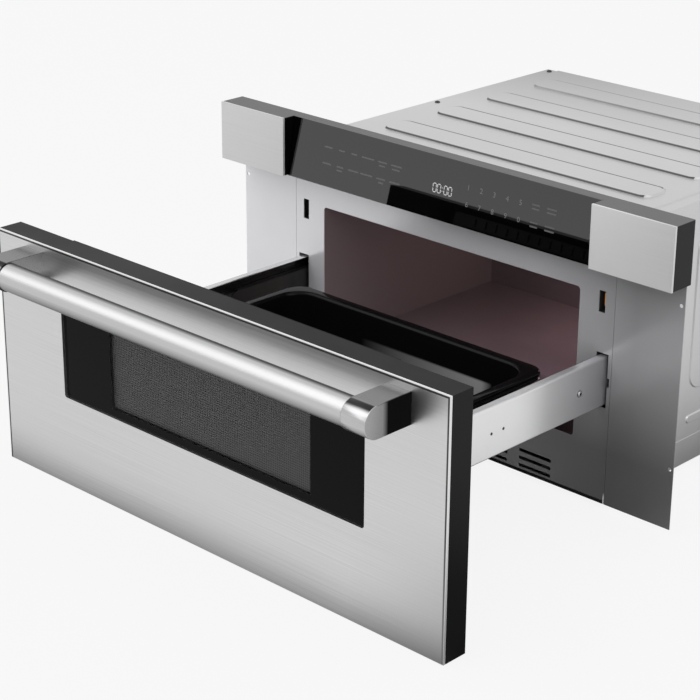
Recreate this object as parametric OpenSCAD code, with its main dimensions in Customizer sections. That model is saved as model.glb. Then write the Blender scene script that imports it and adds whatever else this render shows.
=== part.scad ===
// Built-in microwave drawer, drawn with its drawer pulled open.
// X runs to the right, Y into the cabinet and Z up. The origin is the centre of the four
// flange screws, on the cabinet wall that the flanges are screwed to.

/* [Front face] */
// Width of the door and of the control bar
face_w = 759.5; // [700:0.5:900]
// Height of the door
door_h = 317; // [290:1:360]
// Thickness of the door
door_t = 36; // [32:0.5:42]
// Gap between the closed door's back and the cabinet wall
door_clear = 4; // [3.7:0.1:5]
// Setback of the control bar's front behind the closed door's front
bar_set = 1.8; // [0:0.1:3]
// Gap between the door and the control bar
bar_gap = 11.5; // [8:0.5:14]
// Height of the control bar
bar_h = 80.5; // [74:0.5:95]
// Height of the screw pattern's centre above the door's lower edge
door_drop = 193.5; // [190:0.5:196]

/* [Cabinet] */
// Setback of the cabinet body's sides behind the ends of the face
body_inset = 105.75; // [90:0.25:120]
// Height of the cabinet body's top above the door's top edge
body_rise = 55; // [45:0.5:80]
// Depth of the cabinet body's underside below the screw pattern's centre
body_drop = 186; // [180:0.5:190]
// Depth of the room behind the cavity, for the machinery
machine_room = 185; // [180:1:240]
// Thickness of the front frame and flanges
plate_t = 1.2; // [1:0.1:1.5]
// Thickness of the casing sheets
sheet_t = 0.8; // [0.6:0.1:1]
// Setback of the flanges' outer edges behind the control bar's ends
flange_inset = 5.75; // [2:0.25:7]
// Distance of the flange screws from the flanges' outer edges
screw_inset = 5.5; // [5:0.25:9]
// Distance between the flange screws, top to bottom
screw_span_z = 212; // [180:1:240]
// Diameter of the flange screw holes
screw_hole_d = 5; // [4:0.5:6]

/* [Cavity] */
// Distance from the cabinet body's side to the cavity opening
opening_side = 54; // [52:0.5:60]
// Distance of the opening's upper edge below the door's top edge
opening_fall = 32; // [28:0.5:36]
// Depth of the opening's lower edge below the screw pattern's centre
opening_drop = 108.5; // [106:0.5:112]
// Corner radius of the opening
opening_r = 5; // [2:0.5:8]
// Depth of the cavity
cavity_d = 360; // [330:1:400]

/* [Drawer] */
// Travel of the drawer from closed to open
drawer_stroke = 382.2; // [300:0.1:390]
// Distance from the cabinet body's side to a rail's outer face
rail_room = 9; // [8:0.5:10]
// Height of a rail above its slide
rail_above = 11.5; // [8:0.5:14]
// Height of a rail below its slide
rail_below = 9; // [8:0.5:12]
// Depth of the rails' lower edge below the screw pattern's centre
rail_drop = 53.5; // [52:0.5:55]
// Gap between the tub's rim and the opening at each side
tub_clear = 3; // [2:0.5:8]
// Width of the rim around the tub's well
tub_border = 17; // [15:0.5:27]
// Gap between the tub and the cavity's back
tub_back_gap = 31; // [20:1:60]
// Gap between the tub and the cavity's floor
tub_under = 13; // [9:0.5:30]
// Depth of the tub's rim below the screw pattern's centre
rim_drop = 3.5; // [1:0.5:6]
// Corner radius of the tub's well
tub_r = 32; // [20:1:45]

/* [Handle] */
// Diameter of the handle bar
handle_d = 35; // [28:0.5:38]
// Height of a handle post above and below the bar
post_over = 1.5; // [1:0.25:3]
// Width of a handle post
post_w = 35; // [25:1:40]
// Distance of a post's outer face from the door's side
post_inset = 53.75; // [30:0.25:100]
// Distance of the bar's axis from the door face
handle_reach = 52; // [45:1:60]
// Distance of the bar's axis below the door's top edge
handle_fall = 29.5; // [25:0.5:40]

/* [Window] */
// Distance from the door's side to the window
window_side = 120.25; // [100:0.25:140]
// Height of the window's lower edge above the door's lower edge
window_rise = 122; // [110:1:126]
// Distance of the window's upper edge below the door's top edge
window_fall = 65; // [62:0.5:80]
// Width of the plain border beside the perforated field
mesh_side = 88; // [80:1:110]
// Border of the perforated field below and above
mesh_edge = 11; // [8:1:16]

/* [Control bar] */
// Width of each steel end plate
end_plate_w = 120.5; // [100:0.5:140]
// Setback of the glass at its lower edge
glass_low_set = 8; // [6:0.5:12]
// Setback of the glass at its upper edge
glass_top_set = 20; // [12:0.5:22]
// Thickness of the control glass
glass_t = 3; // [2:0.5:4]

/* [Slides] */
// Height of a slide's outer member
slide_h = 45; // [44:0.5:50]
// Thickness of a slide
slide_t = 12.7; // [12.5:0.1:13]
// Gap between a rail's end and the cabinet body's back, drawer closed
rail_end_gap = 51; // [40:1:70]
// Length by which a slide member is shorter than its rail
slide_short = 43; // [30:1:60]
// Diameter of the slide balls
ball_d = 3.2; // [3:0.1:3.2]

/* [Hidden] */
$fn = 48;
over = 1;
seam = 0.6;
running = 0.08;
apart = 0.4;

// casing
frame_leg = 12;
pan_lip = 36;
edge_strip = 20;
strip_step = 1.5;
flange_leg = 25;

// ribs of the top cover
rib_count = 4;
rib_w = 50;
rib_pitch = 108.4;
rib_first = 141.6;
rib_side = 46;
rib_rise = 2.5;
rib_r = 16;
rib_slope = 2;

// pressed ring and bead of the side panels
ring_front = 168;
ring_back = 35;
ring_low = 102.5;
ring_top = 46;
ring_w = 26;
ring_r = 24;
ring_rise = 1.6;
bead_rise_z = 62;
bead_w = 12;

// slots of the front frame
latch_in = 20;
latch_slot_w = 10;
latch_slot_h = 28;
latch_fall = 10.5;
rail_gap = 3;
rail_slot_notch = 6;
rail_slot_notch_h = 12;
louvre_w = 53;
louvre_h = 5;
louvre_pitch = 10.6;
louvre_rows = 3;
louvre_rise = 9.8;
louvre_centres = [-161, -89, 0, 89, 161];

// cavity, stirrer and waveguide
liner_lip = 8;
stirrer_y = 150;
stirrer_hole_r = 68;
stirrer_cover_r = 78;
stirrer_cover_t = 1.5;
pan_r = 76;
pan_h = 24;
guide_t = 1;
guide_w = 84;
guide_h = 38;
guide_back = 110;
antenna_back = 60;
shaft_r = 3;
stirrer_blade_r = 58;
stirrer_blade_w = 26;
stirrer_blade_t = 1.5;
stirrer_motor_r = 24;
stirrer_motor_h = 16;

// magnetron, transformer, capacitor and boards
magnetron_w = 92;
magnetron_d = 80;
magnetron_h = 68;
magnetron_plate = 3;
fin_count = 9;
fin_t = 1.2;
anode_r = 19;
filter_w = 64;
filter_d = 56;
filter_h = 42;
antenna_r = 9;
antenna_h = 22;
core_w = 96;
core_d = 62;
core_h = 78;
core_x = 150;
core_back = 80;
core_vent_low = 8;
coil_d = 96;
coil_h = 22;
coil_gap = 6;
foot_t = 2;
capacitor_w = 54;
capacitor_d = 34;
capacitor_h = 92;
capacitor_x = 40;
capacitor_back = 130;
board_w = 150;
board_d = 96;
board_t = 1.6;
board_x = -150;
board_back = 80;
post_r = 3;
board_lift = 10;

// cooling fan
fan_x = -150;
fan_fall = 118.5;
fan_size = 112;
fan_depth = 34;
fan_wall = 2.5;
fan_r = 48;
fan_hub_r = 16;
fan_blades = 7;
fan_blade_t = 1.6;
fan_motor_r = 22;
fan_motor_l = 26;
fan_strut = 6;
vent_r = 3;
vent_pitch = 9;

// lamp
lamp_x = 120;
lamp_fall = 41.5;
lamp_hole_r = 2.5;
lamp_pitch = 8;
lamp_r = 10;
lamp_l = 26;
lamp_base = 34;

// latch and interlock parts
housing_wall = 2.2;
housing_l = 44;
housing_room = 13;
hook_in = 1.5;
lever_out = 3;
plunger_gap = 1.6;
lever_t = 1.6;
lever_l = 28;
lever_h = 20;
lever_y = 34;
lever_eye_r = 2.6;
pin_r = 1.2;
switch_t = 8;
switch_l = 26;
switch_h = 18;
plunger_r = 1.5;
hook_t = 4;
hook_h = 9;
hook_barb = 5;
hook_tip_y = 26;
hook_pin_r = 2;
hook_pin_y = 16;
pocket_w = 14;
pocket_h = 42;
pocket_d = 24;

// cord bushing in the back panel
cord_x = -210;
cord_rise = 46;
cord_r = 4.5;
bushing_r = 9;
bushing_l = 16;
bushing_flange_r = 13;
bushing_flange_t = 3;

// screws
screw_head_r = 3.6;
screw_head_h = 2;
screw_r = 1.8;
screw_l = 5;
screw_hole_r = 2;
cover_screw_front = 18;
cover_screw_in = 10;

// control bar
bar_wall = 2.5;
bar_pocket_back = 4;
end_lip = 3;
end_t = 1;
ledge = 6;
display_w = 46;
display_h = 16;
display_t = 6;
touch_t = 1.6;
touch_side = 94.25;
touch_h = 52;
boss_r = 4;

// handle
spigot_l = 1.2;
spigot_step = 1.5;

// door
skin_t = 1;
skin_lip = 3;
groove = 0.8;
window_lip = 4;
window_r = 4;
glass_cover = 10;
window_glass_t = 4;
screen_t = 0.8;
inner_panel_t = 2;
inner_glass_t = 4;
inner_glass_edge = 10;
choke_in = 4;
choke_w = 18;
choke_t = 2.2;
choke_pitch = 20;
choke_slot_w = 3;
choke_slot_l = 12;

// tub
rim_t = 2;
tub_wall = 1.6;
tub_floor_t = 2;
tub_draft = 5;
rim_r = 24;
rim_turn = 8;
tub_screw_low = 8;
tub_tab = 10;
tub_view_side = 40;
tub_view_edge = 12;
tub_view_r = 12;
tub_lip = 12;
tub_screw_xs = [-120, 0, 120];
ceramic_t = 4;
ceramic_gap = 4;

// rails and slides
rail_t = 1.2;
rail_lip = 11.3;
rail_bend = 2.5;
rail_tab = 10;
tab_screw_in = 10;
slide_y = 10;
middle_set = 33;
middle_short = 40;
member_t = 1.2;
middle_gap = 0.8;
race_lip = 0.8;
cage_t = 0.8;
cage_l = 150;
cage_balls = 6;
cage_pitch = 22;
rivet_ys = [166, 187.5];
rail_screw_y = 330.4;
outer_cage_y = 160;
inner_cage_y = 200;
cage_half = 2.6;
rivet_r = 1.5;
rivet_head_r = 2.4;
rivet_head_h = 0.6;
foot_drop = 4;
foot_lip = 16;

// heights of the main edges
door_z0 = -door_drop;
door_z1 = door_z0 + door_h;
bar_z0 = door_z1 + bar_gap;
bar_z1 = bar_z0 + bar_h;
body_z0 = -body_drop;
body_z1 = door_z1 + body_rise;
body_h = body_z1 - body_z0;
open_z0 = -opening_drop;
open_z1 = door_z1 - opening_fall;
opening_h = open_z1 - open_z0;
open_mid = (open_z0 + open_z1) / 2;
latch_z = open_z1 - latch_fall;
lamp_z = open_z1 - lamp_fall;
fan_z = body_z1 - fan_fall;
core_vent_z = fan_z - core_vent_low;
cord_z = body_z0 + cord_rise;
rail_h = slide_h + rail_above + rail_below;
rail_z0 = -rail_drop;
slide_z = rail_z0 + rail_below + slide_h / 2;
tab_screw_zs = [rail_z0 + tab_screw_in, rail_z0 + rail_h - tab_screw_in];
window_h = door_h - window_rise - window_fall;
window_z0 = door_z0 + window_rise;
window_z = window_z0 + window_h / 2;
handle_z = door_z1 - handle_fall;
rim_z = -rim_drop;
tub_h = opening_drop - rim_drop - tub_under;
tub_screw_z = window_z0 - tub_screw_low;

// widths and places across
body_w = face_w - 2 * body_inset;
flange_w = face_w - 2 * flange_inset;
screw_span_x = flange_w - 2 * screw_inset;
side_in = body_w / 2 - sheet_t;
opening_w = body_w - 2 * opening_side;
rail_face = body_w / 2 - rail_room;
tab_screw_x = rail_face + rail_tab / 2;
inner_panel_w = 2 * (rail_face + rail_tab);
tub_rim_w = opening_w - 2 * tub_clear;
tub_well_w = tub_rim_w - 2 * tub_border;
latch_x = body_w / 2 - latch_in;
hook_x = latch_x - hook_in;
lever_x = latch_x + lever_out;
plunger_x = lever_x + lever_t / 2 + plunger_gap;
post_span = face_w - 2 * post_inset;
post_h = handle_d + 2 * post_over;
window_w = face_w - 2 * window_side;
mesh_w = window_w - 2 * mesh_side;
touch_w = face_w - 2 * (end_plate_w + touch_side);

// depths of the main faces with the drawer closed
door_y1 = -door_clear;
inner_y = door_y1 - inner_panel_t;
face_y = inner_y - door_t;
bar_y = face_y + bar_set;
frame_y = -plate_t;
body_d = cavity_d + machine_room;
back_y = body_d - sheet_t;
tub_l = cavity_d - tub_back_gap - door_y1;
rail_l = body_d - rail_end_gap - inner_y;
slide_l = rail_l - slide_short;
middle_l = slide_l - middle_short;
guide_end = cavity_d + guide_back;
antenna_y = cavity_d + antenna_back;
core_y = cavity_d + core_back;
capacitor_y = cavity_d + capacitor_back;
board_y = cavity_d + board_back;
glass_y = face_y + window_lip;
screen_y = glass_y + window_glass_t;
bar_axis_y = face_y - handle_reach;

// height of the casing's side strips and the places of their screws
strip_top = body_z1 - strip_step;
cover_screw_back = body_d - cover_screw_in;
cover_screw_ys = [cover_screw_front, (cover_screw_front + cover_screw_back) / 2, cover_screw_back];

// a flat outline in X and Z, made solid along Y from y0
module slab_y(y0, t) {
    translate([0, y0 + t, 0]) rotate([90, 0, 0]) linear_extrude(t) children();
}

// a flat outline in Y and Z, made solid along X from x0
module slab_x(x0, t) {
    translate([x0, 0, 0]) rotate([90, 0, 90]) linear_extrude(t) children();
}

// a box given by its low and high corners
module box(low, high) {
    translate(low) cube(high - low);
}

// a centred rectangle with round corners
module rounded(w, h, r) {
    square([w - 2 * r, h], center = true);
    square([w, h - 2 * r], center = true);
    for (sx = [-1, 1], sy = [-1, 1]) {
        translate([sx * (w / 2 - r), sy * (h / 2 - r)]) circle(r);
    }
}

// a rectangle between two corners
module span(low, high) {
    translate(low) square(high - low);
}

// a block with round corners that narrows by slope on each side from z = 0 to z = h
module tapered_block(l, w, r, h, slope) {
    a = l - 2 * r;
    b = w - 2 * r;
    rotate([90, 0, 90]) translate([0, 0, -a / 2]) linear_extrude(a)
        polygon([[-w / 2, 0], [w / 2, 0], [w / 2 - slope, h], [slope - w / 2, h]]);
    rotate([90, 0, 0]) translate([0, 0, -b / 2]) linear_extrude(b)
        polygon([[-l / 2, 0], [l / 2, 0], [l / 2 - slope, h], [slope - l / 2, h]]);
    for (sx = [-1, 1], sy = [-1, 1]) {
        translate([sx * a / 2, sy * b / 2, 0]) cylinder(h, r, r - slope);
    }
}

// keeps a piece for the right and mirrors it for the left
module on_left() {
    mirror([1, 0, 0]) children();
}

module on_both() {
    children();
    on_left() children();
}

// the drawer and the parts that follow it are drawn closed and moved to the open position
module opened(share) {
    translate([0, -drawer_stroke * share, 0]) children();
}

module base_pan() {
    color("silver") {
        difference() {
            union() {
                box([-body_w / 2, frame_leg, body_z0], [body_w / 2, back_y, body_z0 + sheet_t]);
                on_both() box([body_w / 2, flange_leg + seam, body_z0],
                    [body_w / 2 + sheet_t, back_y, body_z0 + pan_lip]);
            }
            pan_vents();
        }
    }
}

module pan_vents() {
    for (i = [-8 : 8]) {
        translate([i * vent_pitch * 2, body_d - louvre_w * 2, body_z0 - over])
            linear_extrude(sheet_t + 2 * over) rounded(louvre_h, louvre_w, louvre_h / 2 - sheet_t / 4);
    }
}

module back_panel() {
    color("silver") difference() {
        slab_y(back_y, sheet_t) {
            span([-body_w / 2, body_z0], [body_w / 2, strip_top - sheet_t]);
            span([edge_strip - body_w / 2 + strip_step, body_z0],
                [body_w / 2 - edge_strip - strip_step, body_z1 - sheet_t]);
        }
        slab_y(back_y - over, sheet_t + 2 * over) fan_vents();
        translate([cord_x, back_y - over, cord_z]) rotate([-90, 0, 0])
            cylinder(sheet_t + 2 * over, r = bushing_r);
        for (i = [-4 : 4]) {
            slab_y(back_y - over, sheet_t + 2 * over)
                translate([core_x + i * louvre_pitch, core_vent_z])
                    rounded(louvre_h, louvre_w, louvre_h / 2 - sheet_t / 4);
        }
    }
}

module fan_vents() {
    for (i = [-4 : 4], j = [-4 : 4]) {
        if (norm([i, j]) * vent_pitch < fan_r - vent_r) {
            translate([fan_x + i * vent_pitch, fan_z + j * vent_pitch]) circle(vent_r);
        }
    }
}

module side_panel() {
    flange_z = strip_top - 2 * sheet_t;
    color("lightgray") {
        difference() {
            union() {
                box([side_in, 0, body_z0 + sheet_t], [body_w / 2, back_y, flange_z + sheet_t]);
                box([side_in + sheet_t - edge_strip, frame_leg, flange_z],
                    [body_w / 2, back_y, flange_z + sheet_t]);
                box([side_in - frame_leg, frame_leg, body_z0 + sheet_t],
                    [body_w / 2, back_y, body_z0 + 2 * sheet_t]);
            }
            for (y = cover_screw_ys) {
                translate([body_w / 2 - cover_screw_in, y, flange_z - over])
                    cylinder(sheet_t + 2 * over, r = screw_hole_r);
            }
        }
        side_ring();
        side_bead();
    }
}

module side_ring() {
    l = back_y - ring_back - ring_front;
    h = body_h - ring_low - ring_top;
    translate([body_w / 2, ring_front + l / 2, body_z0 + ring_low + h / 2]) rotate([90, 0, 90])
        difference() {
            tapered_block(l, h, ring_r, ring_rise, ring_rise);
            translate([0, 0, -over]) linear_extrude(ring_rise + 2 * over)
                rounded(l - 2 * ring_w, h - 2 * ring_w, ring_r / 2);
        }
}

module side_bead() {
    l = back_y - ring_back - ring_front;
    translate([body_w / 2, ring_front + l / 2, body_z0 + bead_rise_z]) rotate([90, 0, 90])
        tapered_block(l, bead_w, bead_w / 2 - sheet_t / 2, ring_rise, ring_rise);
}

module left_side_panel() {
    on_left() side_panel();
}

module right_side_panel() {
    side_panel();
}

module top_cover() {
    w = body_w / 2;
    s = w - edge_strip;
    z = body_z1;
    color("lightgray") difference() {
        union() {
            slab_y(0, body_d) polygon([[-w, z - strip_step], [-s - strip_step, z - strip_step],
                [-s, z], [s, z], [s + strip_step, z - strip_step], [w, z - strip_step],
                [w, z - strip_step - sheet_t], [s + strip_step - sheet_t / 2, z - strip_step - sheet_t],
                [s - sheet_t / 2, z - sheet_t], [sheet_t / 2 - s, z - sheet_t],
                [sheet_t / 2 - s - strip_step, z - strip_step - sheet_t], [-w, z - strip_step - sheet_t]]);
            ribs(z);
        }
        ribs(z - sheet_t);
        on_both() for (y = cover_screw_ys) {
            translate([w - cover_screw_in, y, z - strip_step - sheet_t - over])
                cylinder(sheet_t + 2 * over, r = screw_hole_r);
        }
    }
}

module ribs(z) {
    for (i = [0 : rib_count - 1]) {
        translate([0, rib_first + i * rib_pitch, z])
            tapered_block(body_w - 2 * rib_side, rib_w, rib_r, rib_rise, rib_slope);
    }
}

module front_frame() {
    w = body_w / 2 - seam;
    color("gainsboro") {
        difference() {
            slab_y(frame_y, plate_t) span([-w, body_z0], [w, body_z1]);
            slab_y(frame_y - over, plate_t + 2 * over) {
                translate([0, open_mid]) rounded(opening_w, opening_h, opening_r);
                on_both_flat() translate([latch_x, latch_z])
                    square([latch_slot_w, latch_slot_h], center = true);
                on_both_flat() rail_slot();
                louvres();
            }
        }
        on_both() box([side_in - plate_t, 0, body_z0 + pan_lip], [side_in, frame_leg, strip_top - pan_lip]);
        box([-side_in + frame_leg, 0, body_z0], [side_in - frame_leg, frame_leg, body_z0 + plate_t]);
        box([-side_in + pan_lip, 0, body_z1 - sheet_t - plate_t],
            [side_in - pan_lip, frame_leg, body_z1 - sheet_t]);
    }
}

module on_both_flat() {
    children();
    mirror([1, 0]) children();
}

module rail_slot() {
    low = rail_face - rail_t - slide_t - rail_gap / 2;
    span([low, rail_z0 - rail_gap], [rail_face + rail_gap, rail_z0 + rail_h + rail_gap]);
    span([rail_face, slide_z - rail_slot_notch_h / 2],
        [rail_face + rail_slot_notch, slide_z + rail_slot_notch_h / 2]);
}

module louvres() {
    for (x = louvre_centres, i = [0 : louvre_rows - 1]) {
        translate([x, body_z0 + louvre_rise + i * louvre_pitch])
            rounded(louvre_w, louvre_h, louvre_h / 2 - sheet_t / 4);
    }
}

module flange() {
    x = body_w / 2;
    color("gainsboro") difference() {
        union() {
            box([x, frame_y, body_z0], [flange_w / 2, 0, body_z1]);
            box([x, 0, body_z0], [x + plate_t, flange_leg, body_z1 - strip_step]);
        }
        for (s = [-1, 1]) {
            translate([screw_span_x / 2, frame_y - over, s * screw_span_z / 2]) rotate([-90, 0, 0])
                cylinder(plate_t + 2 * over, d = screw_hole_d);
        }
    }
}

module left_flange() {
    on_left() flange();
}

module right_flange() {
    flange();
}

module cavity_liner() {
    w = opening_w / 2;
    t = sheet_t;
    color([0.3, 0.24, 0.27]) difference() {
        union() {
            box([-w - t, 0, open_z0 - t], [w + t, cavity_d + t, open_z1 + t]);
            box([-w - liner_lip, 0, open_z0 - liner_lip], [w + liner_lip, t, open_z1 + liner_lip]);
        }
        box([-w, -over, open_z0], [w, cavity_d, open_z1]);
        translate([0, stirrer_y, open_z1 - over]) cylinder(t + 2 * over, r = stirrer_hole_r);
        for (i = [-1 : 1], j = [-1 : 1]) {
            translate([lamp_x + i * lamp_pitch, cavity_d - over, lamp_z + j * lamp_pitch])
                rotate([-90, 0, 0]) cylinder(t + 2 * over, r = lamp_hole_r);
        }
    }
}

module waveguide() {
    z = open_z1 + sheet_t + stirrer_cover_t;
    t = guide_t;
    color("silver") difference() {
        union() {
            translate([0, stirrer_y, z]) cylinder(pan_h, r = pan_r);
            box([-guide_w / 2, stirrer_y + pan_r / 2, z], [guide_w / 2, guide_end, z + guide_h]);
        }
        translate([0, stirrer_y, z - over]) cylinder(pan_h - t + over, r = pan_r - t);
        box([t - guide_w / 2, stirrer_y + pan_r / 2 + t, z + t],
            [guide_w / 2 - t, guide_end - t, z + guide_h - t]);
        translate([0, stirrer_y, z]) cylinder(pan_h + over, r = shaft_r * 2);
        translate([0, antenna_y, z - over]) cylinder(t + 2 * over, r = antenna_r + apart);
    }
}

module stirrer_cover() {
    color("tan") translate([0, stirrer_y, open_z1 + sheet_t])
        cylinder(stirrer_cover_t, r = stirrer_cover_r);
}

module stirrer_blade() {
    z = open_z1 + sheet_t + stirrer_cover_t;
    top = z + pan_h + stirrer_motor_h / 2;
    blade_z = z + pan_h / 3;
    color("silver") translate([0, stirrer_y, blade_z]) {
        cylinder(top - blade_z, r = shaft_r);
        difference() {
            union() {
                for (i = [0 : 2]) {
                    rotate([0, 0, i * 120]) translate([0, -stirrer_blade_w / 2, 0])
                        cube([stirrer_blade_r, stirrer_blade_w, stirrer_blade_t]);
                }
                cylinder(stirrer_blade_t, r = stirrer_blade_w);
            }
            for (i = [0 : 2]) {
                rotate([0, 0, i * 120]) translate([stirrer_blade_r * 2 / 3, 0, -over])
                    linear_extrude(stirrer_blade_t + 2 * over)
                        rounded(stirrer_blade_w / 2, stirrer_blade_w / 4, stirrer_blade_w / 9);
            }
        }
    }
}

module stirrer_motor() {
    z = open_z1 + sheet_t + stirrer_cover_t + pan_h;
    color("dimgray") difference() {
        union() {
            translate([0, stirrer_y, z]) cylinder(stirrer_motor_h, r = stirrer_motor_r);
            translate([0, stirrer_y, z]) linear_extrude(guide_t)
                rounded(3 * stirrer_motor_r, stirrer_motor_r, shaft_r);
        }
        translate([0, stirrer_y, z - over]) cylinder(stirrer_motor_h / 2 + 2 * over, r = shaft_r + running);
    }
}

module magnetron() {
    z = open_z1 + sheet_t + stirrer_cover_t;
    w = magnetron_w;
    d = magnetron_d;
    color("darkgray") translate([0, antenna_y, z]) {
        translate([0, 0, -magnetron_plate]) linear_extrude(magnetron_plate)
            square([w, d], center = true);
        translate([0, 0, -magnetron_h]) linear_extrude(magnetron_plate) square([w, d], center = true);
        translate([0, 0, -magnetron_h]) cylinder(magnetron_h, r = anode_r);
        for (s = [-1, 1]) {
            translate([s * (w - fin_t) / 2, 0, -magnetron_h]) linear_extrude(magnetron_h)
                square([fin_t, d], center = true);
        }
        for (i = [1 : fin_count]) {
            translate([0, 0, -magnetron_h * i / (fin_count + 1) - fin_t / 2])
                linear_extrude(fin_t) square([w - fin_t, d - 2 * magnetron_plate], center = true);
        }
        translate([0, 0, -magnetron_h - filter_h]) linear_extrude(filter_h)
            rounded(filter_w, filter_d, magnetron_plate);
        cylinder(antenna_h, r = antenna_r);
    }
}

module transformer() {
    z = body_z0 + 2 * sheet_t + foot_t - sheet_t;
    color("brown") translate([core_x, core_y, z]) {
        translate([-core_w / 2, -core_d / 2, 0]) cube([core_w, core_d, core_h]);
        for (i = [0, 1]) {
            translate([0, 0, coil_gap + coil_h / 2 + i * (coil_h + coil_gap)])
                translate([0, 0, -coil_h / 2]) linear_extrude(coil_h)
                    rounded(core_w * 2 / 3, coil_d, coil_h / 2);
        }
        translate([0, 0, -foot_t]) linear_extrude(foot_t) rounded(core_w + coil_h * 2, core_d, coil_gap);
    }
}

module capacitor() {
    color("silver") translate([capacitor_x, capacitor_y, body_z0 + sheet_t]) {
        linear_extrude(capacitor_h) rounded(capacitor_w, capacitor_d, capacitor_d / 2 - sheet_t);
        for (s = [-1, 1]) {
            translate([s * capacitor_w / 4, 0, capacitor_h]) cylinder(capacitor_d / 5, r = capacitor_d / 10);
            translate([s * capacitor_w / 4 - sheet_t / 2, -capacitor_d / 10, capacitor_h])
                cube([sheet_t, capacitor_d / 5, capacitor_d / 2]);
        }
    }
}

module fan_housing() {
    y = back_y - fan_depth;
    color("dimgray") {
        difference() {
            slab_y(y, fan_depth) translate([fan_x, fan_z]) rounded(fan_size, fan_size, fan_strut);
            slab_y(y - over, fan_depth + 2 * over) translate([fan_x, fan_z]) circle(fan_r + fan_wall);
        }
        for (a = [0, 90]) {
            translate([fan_x, y, fan_z]) rotate([-90, 0, 0]) rotate([0, 0, a]) difference() {
                translate([-fan_r - fan_wall - over, -fan_strut / 2, 0])
                    cube([2 * (fan_r + fan_wall + over), fan_strut, fan_wall]);
                translate([0, 0, -over]) cylinder(fan_wall + 2 * over, r = fan_motor_r);
            }
        }
    }
}

module fan_motor() {
    y = back_y - fan_depth;
    color("gray") difference() {
        union() {
            translate([fan_x, y - fan_motor_l + fan_wall, fan_z]) rotate([-90, 0, 0])
                cylinder(fan_motor_l, r = fan_motor_r);
            translate([fan_x, y - fan_motor_l - fan_wall, fan_z]) rotate([-90, 0, 0])
                cylinder(fan_motor_l, r = fan_motor_r - fan_strut);
        }
        translate([fan_x, y - fan_motor_l / 2, fan_z]) rotate([-90, 0, 0])
            cylinder(fan_motor_l + over, r = shaft_r + running);
    }
}

module fan_blade() {
    y = back_y - fan_depth + fan_wall + running * 10;
    hub_l = fan_depth / 2;
    color("white") translate([fan_x, y, fan_z]) rotate([-90, 0, 0]) {
        cylinder(hub_l, r = fan_hub_r);
        translate([0, 0, -fan_motor_l / 3]) cylinder(fan_motor_l / 3, r = shaft_r);
        for (i = [0 : fan_blades - 1]) {
            rotate([0, 0, i * 360 / fan_blades]) translate([fan_hub_r - over, 0, hub_l / 2])
                rotate([35, 0, 0]) translate([0, -hub_l / 2, -fan_blade_t / 2])
                    cube([fan_r - fan_hub_r - fan_wall, hub_l, fan_blade_t]);
        }
    }
}

module oven_lamp() {
    y = cavity_d + sheet_t;
    color("ivory") translate([lamp_x, y, lamp_z]) {
        difference() {
            slab_y(0, lamp_l + lamp_r) square(lamp_base, center = true);
            slab_y(-over, lamp_l + lamp_r) square(lamp_base - 2 * fan_wall, center = true);
        }
        translate([0, lamp_l + lamp_r, 0]) rotate([90, 0, 0]) cylinder(lamp_l / 2 + lamp_r, r = lamp_r / 2);
        translate([0, lamp_l / 2, 0]) sphere(lamp_r * 0.8);
    }
}

module latch_housing() {
    x0 = latch_x - latch_slot_w / 2;
    w = housing_wall;
    color("dimgray") {
        difference() {
            box([x0 - w, 0, latch_z - latch_slot_h / 2 - w],
                [x0 + housing_room + w, housing_l, latch_z + latch_slot_h / 2 + w]);
            box([x0, -over, latch_z - latch_slot_h / 2],
                [x0 + housing_room, housing_l - w, latch_z + latch_slot_h / 2]);
            translate([x0 + housing_room - over, lever_y - lever_l / 2, latch_z]) rotate([0, 90, 0])
                cylinder(w + 2 * over, r = plunger_r + apart);
        }
        translate([lever_x, lever_y, latch_z - latch_slot_h / 2])
            cylinder(latch_slot_h, r = pin_r);
    }
}

module latch_housings() {
    on_both() latch_housing();
}

module switch_lever() {
    x = lever_x;
    color([0.7, 0.42, 0.2]) difference() {
        union() {
            box([x - lever_t / 2, lever_y - lever_l, latch_z - lever_h / 2],
                [x + lever_t / 2, lever_y, latch_z + lever_h / 2]);
            translate([x, lever_y, latch_z - lever_h / 2]) cylinder(lever_h, r = lever_eye_r);
        }
        translate([x, lever_y, latch_z - lever_h / 2 - over])
            cylinder(lever_h + 2 * over, r = pin_r + running);
    }
}

module left_switch_lever() {
    on_left() switch_lever();
}

module right_switch_lever() {
    switch_lever();
}

module interlock_switch() {
    x = latch_x - latch_slot_w / 2 + housing_room + housing_wall;
    y = lever_y - lever_l / 2;
    color("black") {
        box([x, y - switch_l / 2, latch_z - switch_h / 2],
            [side_in - plate_t - apart, y + switch_l / 2, latch_z + switch_h / 2]);
        translate([plunger_x, y, latch_z]) rotate([0, 90, 0])
            cylinder(x - plunger_x + over, r = plunger_r);
    }
}

module interlock_switches() {
    on_both() interlock_switch();
}

module power_board() {
    z = body_z0 + sheet_t;
    color("green") translate([board_x, board_y, z]) {
        translate([0, 0, board_lift]) linear_extrude(board_t) square([board_w, board_d], center = true);
        for (sx = [-1, 1], sy = [-1, 1]) {
            translate([sx * (board_w / 2 - post_r * 2), sy * (board_d / 2 - post_r * 2), 0])
                cylinder(board_lift, r = post_r);
        }
        translate([-board_w / 4, 0, board_lift + board_t]) linear_extrude(board_lift * 3)
            square([board_w / 4, board_d / 2], center = true);
        for (i = [0 : 2]) {
            translate([board_w / 8 + i * board_w / 8, board_d / 5, board_lift + board_t])
                cylinder(board_lift * 2, r = board_w / 20);
        }
        translate([board_w / 4, -board_d / 4, board_lift + board_t]) linear_extrude(board_lift)
            square([board_w / 3, board_d / 5], center = true);
    }
}

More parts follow.
